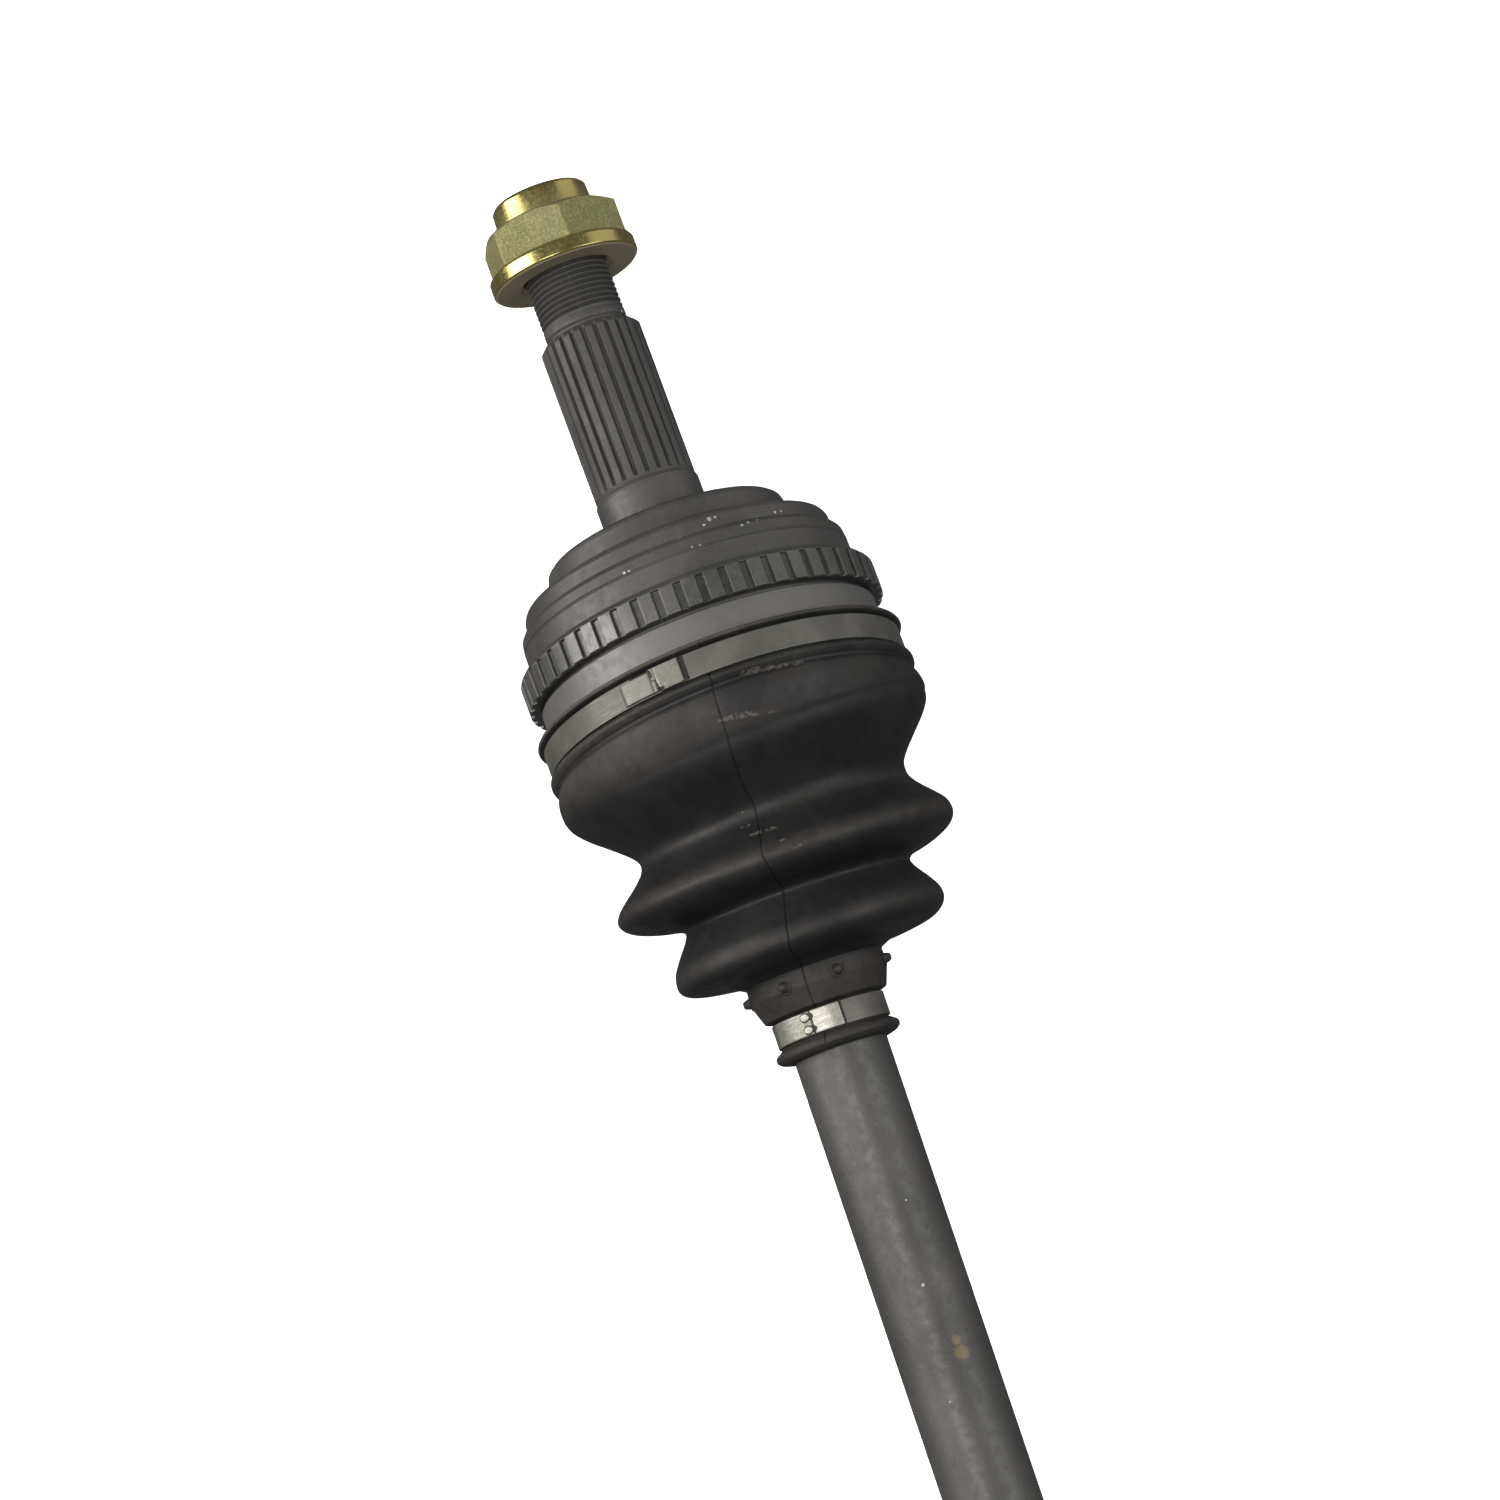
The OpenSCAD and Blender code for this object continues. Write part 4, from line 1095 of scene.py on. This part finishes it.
    # mould seams, as narrow grooves
    mid = P.shape[1] // 2
    cut = np.zeros(P.shape[1])
    for c in (0, mid):
        for k, v in ((0, 1.0), (1, 0.85), (2, 0.35), (-1, 0.85), (-2, 0.35)):
            cut[(c + k) % P.shape[1]] = v
    xw0 = WHEEL.local(P)[..., 0]
    depth = 0.36 * cut[None, :] * smoothstep(5.6, 6.6, xw0) * smoothstep(103.4, 102.4, x)
    # slow unevenness of soft rubber
    wave = 0.10 * np.sin(3 * TH + x * 0.11) + 0.07 * np.sin(5 * TH - x * 0.17 + 1.3)
    wave = wave * smoothstep(19, 27, x) * smoothstep(84, 76, x)
    disp = wave - depth
    # pips round the neck
    for az in (49.3, 109.3, 171.3, 217.3, 277.3, 337.3):
        d = deg_diff(TH, az)
        dist = np.hypot(np.radians(d) * rad, x - 85.5)
        disp += np.where((x > 83) & (x < 88) & (np.abs(d) < 30), 1.8 * smoothstep(1.6, 0.7, dist), 0)
    P = P + n * (disp * MM)[..., None]
    low = P[..., 2] < 0.00004
    P[..., 2] = np.where(low, 0.00004, P[..., 2])
    P[..., 2] = np.minimum(P[..., 2], cad_hi[2] - 0.00003)
    loc = BAR.local(P)

    # a brownish film level: dust near the large end, more on the upper side, lighter bands on some folds, partly
    # painted light as noted below
    xw = WHEEL.local(P)[..., 0]
    bar_x = loc[..., 0]
    side = 0.35 + 0.65 * smoothstep(-10, 45, deg_diff(TH, 195))
    # the dip at wheel station 18.3 is cut out of it: painted shade in the groove behind the bead
    dust_and_painted_light = 0.62 * smoothstep(14.4, 15.5, xw) * smoothstep(29, 19, bar_x) * side * (1 - 0.9 * np.exp(-(((xw - 18.3) / 0.75) ** 2)))
    # the front lip's crest much lighter: dust and painted highlight
    dust_and_painted_light = np.maximum(dust_and_painted_light, 1.4 * smoothstep(5.3, 5.5, xw) * smoothstep(6.8, 6.2, xw) * (0.5 + 0.5 * side))
    # lighter bands at bar stations 54, 42.5 and 74.6
    for cx, w, k in ((54.0, 2.6, 0.42), (42.5, 1.6, 0.25), (74.6, 2.6, 0.3)):
        dust_and_painted_light = np.maximum(dust_and_painted_light, k * np.exp(-(((bar_x - cx) / w) ** 2)))
    # the whole neck lighter: painted sheen
    dust_and_painted_light = np.maximum(dust_and_painted_light, 0.42 * smoothstep(81.5, 84, bar_x))
    # a lighter line on the end bead
    dust_and_painted_light = np.maximum(dust_and_painted_light, 0.6 * np.exp(-(((bar_x - 101.2) / 0.9) ** 2)))
    dust_and_painted_light = np.maximum(dust_and_painted_light, 0.05)

    mean_x = loc[..., 0].mean(axis=1)
    row_at = lambda v: int(np.argmin(np.abs(mean_x - v) + (np.arange(len(mean_x)) < len(part1)) * 1e3))
    iA, iB, iC = row_at(52.2), row_at(47.0), row_at(42.0)
    last = len(P) - 1
    i_neck = row_at(84.5)
    at = lambda v: BAR.o + MM * v * BAR.z
    mid_axis = np.array((math.cos(DROOP / 2), 0, math.sin(DROOP / 2)))
    along = lambda v: BAR.o + MM * v * mid_axis
    cuts = [(0, iC), (iC, iB), (iB, iA), (iA, last)]
    spans = [
        ("yaw_ball_right", "wheel_end", along(38.0), along(21.5)),
        ("cage", "yaw_ball_right", at(45.9), at(43.4)),
        ("cage", "yaw_ball_left", at(48.2), at(51.2)),
        ("axle", "yaw_ball_left", at(80.0), at(53.2)),
    ]
    gap = np.full(len(P), 2.1)
    gap[0] = 1.2
    gap[: len(part1) - 6] = np.interp(np.arange(len(part1) - 6), [0, 6], [1.2, 2.1])
    seatrows = wrows[:, 1]
    gap[: len(wrows)] = np.clip(wrows[:, 1] - 45.12, 0.9, 3.4)
    gap[-len(nrows):] = np.clip(nrows[:, 1] - 12.5, 0.3, 3.5)
    qx = 6.1 + (wrows[:, 0] - wrows[0, 0]) * (19.6 - 6.1) / (19.6 - wrows[0, 0])
    qr = np.interp(wrows[:, 0], [16.2, 19.6], [45.12, 46.5])
    bore = WHEEL.at(qx[:, None], qr[:, None], ths)
    made = boot_pieces("wheel_boot", P, loc, gap, cuts, dust_and_painted_light, RUBBER, "outer_boot", [None] * 4, spans, "boot_rubber",
                       seats=[(slice(0, len(wrows)), bore)])
    scuffs = [(746, 672, 1.2), (756, 670, 1.5), (768, 668, 1.4), (782, 666, 1.2), (798, 663, 1.0), (722, 720, 0.9), (732, 717, 1.5), (744, 715, 1.6),
              (758, 713, 1.3), (774, 711, 1.0), (608, 716, 1.0), (620, 712, 1.4), (634, 708, 1.2), (742, 812, 0.9), (746, 826, 0.9), (756, 833, 1.2),
              (770, 829, 1.1), (782, 840, 0.6), (797, 846, 0.9)]
    scuffs = [(x, y, 1.9 * r) for x, y, r in scuffs]
    worn = rubber_material("boot_rubber_worn", scuffs=marks_over(made, BAR, scuffs))
    for ob in made:
        ob.data.materials[0] = worn


def make_inner_boot():
    pts = [(-112.2, 12.9), (-112.1, 15.3), (-111.2, 16.4), (-109.6, 16.75), (-108.4, 16.4), (-107.5, 15.3), (-107.0, 14.34), (-100.3, 14.34),
           (-99.7, 16.2), (-96.5, 16.9), (-93.0, 17.1), (-91.2, 18.4), (-88.8, 24.6), (-86.6, 30.9), (-84.2, 32.8), (-81.8, 31.4), (-78.8, 27.6),
           (-76.0, 25.8), (-73.6, 26.7), (-71.0, 31.0), (-67.8, 37.0), (-65.2, 38.6), (-62.8, 37.0), (-59.4, 32.0), (-56.4, 29.8), (-53.8, 30.8),
           (-51.0, 35.4), (-47.6, 41.8), (-44.8, 43.6), (-42.2, 41.7), (-38.6, 36.2), (-35.4, 34.0), (-32.4, 35.4), (-29.0, 41.0), (-25.2, 47.2),
           (-22.4, 48.55), (-19.8, 47.5), (-17.8, 47.7), (-16.2, 48.7), (-14.8, 48.2), (-13.8, 46.72), (-6.1, 46.72), (-5.2, 48.5), (-3.8, 48.6),
           (-3.05, 47.4), (-3.0, 45.8)]
    keys = np.array([(a, r, 0.0) for a, r in pts])[:, None, :]
    steps = []
    for a, b in zip(pts[:-1], pts[1:]):
        steps.append(max(2, int(math.hypot(b[0] - a[0], b[1] - a[1]) / 0.7)))
    prof = catmull(keys, steps)[:, 0, :2]
    prof[:, 1] = np.where((prof[:, 0] > -107.0) & (prof[:, 0] < -100.3), 14.34, prof[:, 1])
    prof[:, 1] = np.where((prof[:, 0] > -13.75) & (prof[:, 0] < -6.15), 46.72, prof[:, 1])
    prof[:, 1] = np.clip(prof[:, 1], 12.9, 48.7)
    prof[:, 0] = np.clip(prof[:, 0], -112.2, -3.0)
    seam = np.full(len(prof), 193.0)
    th = boot_columns(prof[:, 1], seam)
    P = GEAR.at(prof[:, :1], prof[:, 1:], th)
    n = surface_normals(P)
    x = np.broadcast_to(prof[:, :1], th.shape)
    mid = P.shape[1] // 2
    cut = np.zeros(P.shape[1])
    for c in (0, mid):
        for k, v in ((0, 1.0), (1, 0.85), (2, 0.35), (-1, 0.85), (-2, 0.35)):
            cut[(c + k) % P.shape[1]] = v
    wave = 0.12 * np.sin(3 * th + x * 0.1) + 0.07 * np.sin(5 * th - x * 0.15 + 0.7)
    wave = wave * smoothstep(-18, -26, x) * smoothstep(-92, -84, x)
    inside = (x > -111.5) & (x < -3.6)
    P = P + n * (((wave - 0.28 * cut[None, :]) * inside) * MM)[..., None]
    loc = GEAR.local(P)
    dust_and_painted_light = np.full(x.shape, 0.12)
    for cx, w, k in ((-22.4, 3.5, 0.6), (-44.8, 3.2, 0.5), (-65.2, 3.0, 0.45), (-84.2, 3.0, 0.45)):
        dust_and_painted_light = np.maximum(dust_and_painted_light, k * np.exp(-(((x - cx) / w) ** 2)))
    mx = prof[:, 0]
    row_at = lambda v: int(np.argmin(np.abs(mx - v)))
    i1, i2 = row_at(-76.5), row_at(-45.5)
    last = len(P) - 1
    at = lambda v: GEAR.o + MM * v * GEAR.z
    cuts = [(0, i1), (i1, i2), (i2, last)]
    spans = [
        ("axle", "needle_set", at(-91.0), at(-77.0)),
        ("needle_set", "gearbox_boot", at(-76.0), at(-46.0)),
        ("gearbox_boot", "gearbox_end", at(-45.0), at(-19.0)),
    ]
    gap = np.full(len(P), 2.1)
    gap = np.where(mx < -93, np.clip(prof[:, 1] - 12.5, 0.3, 3.5), gap)
    gap = np.where(mx > -19.5, np.clip(prof[:, 1] - 44.15, 1.0, 3.5), gap)
    k = int(np.argmax(mx > -16.3))
    qx = -16.3 + (mx[k:] + 16.3) * (-3.9 + 16.3) / (-3.0 + 16.3)
    bore = GEAR.at(qx[:, None], np.full((len(qx), 1), 44.12), th[k:])
    boot_pieces("gearbox_boot", P, loc, gap, cuts, dust_and_painted_light, RUBBER, "inner_boot", [None] * 3, spans, "boot_rubber",
                seats=[(slice(k, None), bore)])


# ----------------------------------------------------------------------- bar
def make_bar():
    s = Soup()
    th = spline_angles(26, 11.0)
    N = len(th)
    span = 350.0
    tooth = tooth_form(th, 26, 11.0, 0.85)
    ones = np.ones(N)
    pts = [(-16.5, 0, 0), (-16.5, 10.0, 0.1), (-15.5, tooth - 0.02, 0.1), (-13.95, tooth - 0.02, 0.05), (-13.93, 10.15, 0.05), (-12.47, 10.15, 0.05),
           (-12.45, tooth - 0.02, 0.05), (12.4, tooth - 0.02, 0.1), (13.2, 10.1, 0.1), (16.5, 10.6, 0.3), (22, 11.0, 0.8), (34, 12.4, 2.0),
           (60, 12.4, 0), (120, 12.4, 0), (180, 12.4, 0), (240, 12.4, 0), (290, 12.4, 3.0), (306, 10.6, 3.0), (332, 10.6, 0.5), (335, 10.0, 0.3), (337.2, 10.0, 0.2),
           (337.4, tooth - 0.02, 0.1), (337.5, tooth - 0.02, 0.02), (337.52, 10.15, 0.05), (338.98, 10.15, 0.05), (339.0, tooth - 0.02, 0.02), (361.0, tooth - 0.02, 0.05),
           (361.02, 10.15, 0.05), (362.48, 10.15, 0.05), (362.5, tooth - 0.02, 0.05), (364.2, tooth - 0.02, 0.1), (365.0, 10.0, 0.1), (365.0, 0, 0)]
    rows = rounded(pts, N=N, n=3, sup=0.3)
    lathe(s, BAR, rows, th)
    ob = s.make("bar_solid", PAINT_TULIP, "axle", ["axle_bar"], "painted_steel")
    ob.data.materials[0] = paint_material(
        "bar_paint",
        chips=marks(ob, BAR, [(923, 1285, 0.5), (906, 1200, 0.28), (950, 1402, 0.25)]),
        stains=marks(ob, BAR, [(962, 1352, 2.4), (956, 1340, 1.5)]),
    )
    return ob


# -------------------------------------------------------- gearbox-end housing
def make_tulip():
    s = Soup()
    base = spline_angles(28, 13.3)
    N = len(base)
    th = base
    dg = np.degrees(th)
    d120 = (dg + 60) % 120 - 60
    # hollow between the lobes, behind the rim
    dd = 58.5 ** 2 * np.sin(np.radians(d120)) ** 2
    near = 58.5 * np.cos(np.radians(d120)) - np.sqrt(np.maximum(17.0 ** 2 - dd, 0.0))
    near = np.where(dd < 17.0 ** 2, near, 99.0)
    k = 0.7
    body = 46.4 - k * np.log1p(np.exp((46.4 - near) / k))
    body = np.minimum(body, 46.4)
    rim = np.minimum(50.58, 49.68 / np.cos(np.radians(d120)))
    sm = smoothstep(0, 1, np.clip((46.4 - body) / 5, 0, 1))
    def b(r):
        return np.minimum(r, body)
    pts = [
        (-20.0, 41.6, 0), (-20.0, 42.9, 0.3), (-19.0, 44.0, 0.3), (-2.6, 44.0, 0.3), (-2.4, 49.0, 0.35), (-1.2, rim, 0.45), (7.9, rim, 0.6), (9.25, np.minimum(rim - 1.3, 49.3), 0.5),
        (9.3, body + 0.2, 1.0), (10.8, body, 1.2), (36.0, b(46.4), 2.0), (39.5, b(45.4), 1.5), (42.5, b(43.0), 2.0), (46.5, b(37.6), 2.0), (49.6, 30.0, 2.0), (51.4, 23.5, 0.6),
        (53.9, 22.6, 0.3), (54.0, 17.05, 0.4), (78.0, 17.0, 0.3), (79.0, 16.0, 0.2), (79.4, 12.4, 0.4), (82.0, 12.4, 0),
    ]
    outer = rounded(pts, N=N, n=4, sup=0.2)
    # cavity: three roller tracks round the spider's hub
    dl = np.radians((dg + 0) % 120 - 60)
    q = 17.3 ** 2 - 26 ** 2 * np.sin(dl) ** 2
    lobe = np.where(q > 0, 26 * np.cos(dl) + np.sqrt(np.maximum(q, 0)), 0)
    cav = np.minimum(np.maximum(lobe, 25.5), 37.3)
    inner = []
    for a, r in ((42.0, 0.0), (42.0, 12.0), (42.0, cav - 1.0), (41.9, cav - 0.3), (41.3, cav), (20.0, cav), (0.0, cav), (-17.4, cav), (-19.6, np.maximum(cav, 27.4)), (-20.0, np.maximum(cav, 28.4) + 0.3)):
        inner.append(np.stack([np.full(N, float(a)), np.broadcast_to(r, (N,)).astype(float)], -1))
    # spline, ring groove and end
    tooth = tooth_form(th, 28, 13.3, 1.1)
    tail = []
    def row(x, r):
        tail.append(np.stack([np.full(N, float(x)), np.broadcast_to(r, (N,)).astype(float)], -1))
    for x in np.arange(82.0, 83.2, 0.2):
        row(x, np.minimum(tooth, 12.45 + (x - 82.0)))
    for x in (83.4, 95.0, 117.9):
        row(x, tooth)
    for x, r in ((118.15, 0), (118.2, 1), (118.3, 2), (120.1, 2), (120.2, 1), (120.25, 0)):
        row(x, [tooth, np.minimum(tooth, 12.3), np.full(N, 12.0)][r])
    for x in np.concatenate([[120.5], np.arange(122.6, 124.1, 0.2)]):
        row(x, np.minimum(tooth, 13.3 - max(0, x - 122.8)))
    for x, r in ((124.05, 12.0), (126.5, 12.0), (126.8, 11.9), (127.9, 10.6), (128.0, 10.3), (128.0, 3.8), (127.9, 3.55), (125.7, 1.7), (125.4, 1.6), (122.3, 1.6), (122.0, 1.5), (122.0, 0)):
        row(x, r)
    rows = np.concatenate([np.stack(inner), outer, np.stack(tail)])
    lathe(s, GEAR, rows, th)
    return s.make("tripod_housing", PAINT_TULIP, "gearbox_end", ["inner_joint_housing"], "painted_steel")


def make_stub_ring():
    s = Soup()
    az = np.radians(np.linspace(15, 345, 160))
    k = np.arange(16) * TAU / 16
    secs, locs = [], []
    for t in az:
        a = 119.2 + 0.95 * np.cos(k)
        r = 13.05 + 0.95 * np.sin(k)
        secs.append(GEAR.at(a, r, t))
        locs.append(np.stack([a, r * math.cos(t), r * math.sin(t)], -1))
    s.strip(np.stack(secs), np.stack(locs))
    return s.make("stub_spring_ring", SPRING_LOC, "gearbox_end", ["stub_circlip"], "spring_steel")


SPRING_LOC = machined_material("spring_ring_steel", (0.10, 0.10, 0.105), (0.17, 0.165, 0.16), rough=(0.26, 0.4), metal=1.0)

make_nut()
make_bell()
make_ring()
make_large_clamp(WHEEL, 47.65, 7.5, 14.3, "wheel_boot_large_clamp", "wheel_end", "outer_boot_large_clamp")
make_small_clamp(BAR, 14.35, 93.1, 99.3, "wheel_boot_small_clamp", "axle", "outer_boot_small_clamp")
make_large_clamp(GEAR, 46.75, -13.5, -6.3, "gearbox_boot_large_clamp", "gearbox_end", "inner_boot_large_clamp")
make_small_clamp(GEAR, 14.35, -106.8, -100.4, "gearbox_boot_small_clamp", "axle", "inner_boot_small_clamp")
make_outer_boot()
make_inner_boot()
make_bar()
make_tulip()
make_stub_ring()

# the inner pieces stay as they come, with their own steel
slot_of = {s["node"]: s["material_slot"] for s in frame["record"]["subparts"]}
for node, ob in frame["nodes"].items():
    mat = SPRING if slot_of.get(node) == "spring_steel" else BEARING
    if not ob.material_slots:
        ob.data.materials.append(mat)
    for sl in ob.material_slots:
        sl.material = mat

# --------------------------------------------------------------------- stage
floor_me = bpy.data.meshes.new("floor")
w = 6.0
floor_me.from_pydata([(-w, -w, 0), (w, -w, 0), (w, w, 0), (-w, w, 0)], [], [(0, 1, 2, 3)])
floor = bpy.data.objects.new("floor", floor_me)
bpy.context.scene.collection.objects.link(floor)
fm = Mat("studio_floor", local=False, Roughness=0.9)
fm.set("Base Color", fm.mix(fm.noise(0.004, 2), (0.90, 0.90, 0.90), (0.93, 0.93, 0.93)))
floor_me.materials.append(fm.m)
floor.visible_glossy = False
floor.visible_diffuse = False

world = bpy.data.worlds.new("studio")
bpy.context.scene.world = world
world.use_nodes = True
bg = world.node_tree.nodes["Background"]
bg.inputs[0].default_value = (1.0, 1.0, 1.0, 1)
path = world.node_tree.nodes.new("ShaderNodeLightPath")
level = world.node_tree.nodes.new("ShaderNodeMapRange")
level.inputs["To Min"].default_value = 0.12
level.inputs["To Max"].default_value = 0.95
world.node_tree.links.new(path.outputs["Is Camera Ray"], level.inputs["Value"])
world.node_tree.links.new(level.outputs["Result"], bg.inputs[1])


def area(name, direction, dist, size, watts, target=None, color=(1, 1, 1), size_y=None):
    d = Vector(direction).normalized()
    data = bpy.data.lights.new(name, "AREA")
    data.shape = "RECTANGLE"
    data.size = size
    data.size_y = size_y or size
    data.energy = watts
    data.color = color
    ob = bpy.data.objects.new(name, data)
    t = Vector(target if target is not None else centre)
    ob.location = t + d * dist
    ob.rotation_mode = "QUATERNION"
    ob.rotation_quaternion = d.to_track_quat("Z", "Y")
    ob.visible_camera = False
    bpy.context.scene.collection.objects.link(ob)
    return ob


area("left", -0.95 * RIGHT + 0.02 * UP + 0.36 * CAM, 1.4, 0.7, 21.5, size_y=1.1, color=(1.0, 0.985, 0.965))
area("top", -0.3 * RIGHT + 0.02 * UP + 1.0 * CAM, 1.6, 0.6, 15.5, color=(1.0, 0.99, 0.975))
area("fill", 0.85 * RIGHT + 0.25 * UP + 0.8 * CAM, 1.8, 1.1, 16.5, color=(0.96, 0.98, 1.0))
area("card", 0.75 * RIGHT + 0.62 * UP + 0.1 * CAM, 1.6, 1.3, 3.4, color=(1.0, 1.0, 0.98))
# a lamp for the floor alone keeps it evenly pale
sun_data = bpy.data.lights.new("floor_lamp", "SUN")
sun_data.energy = 2.7
sun_data.angle = 0.5
sun = bpy.data.objects.new("floor_lamp", sun_data)
bpy.context.scene.collection.objects.link(sun)
only_floor = bpy.data.collections.new("floor_only")
only_floor.objects.link(floor)
sun.light_linking.receiver_collection = only_floor
sun.light_linking.blocker_collection = only_floor

vs = bpy.context.scene.view_settings
vs.view_transform = "Standard"
vs.look = "None"
vs.exposure = 0.0
vs.gamma = 1.0

bpy.context.view_layer.update()
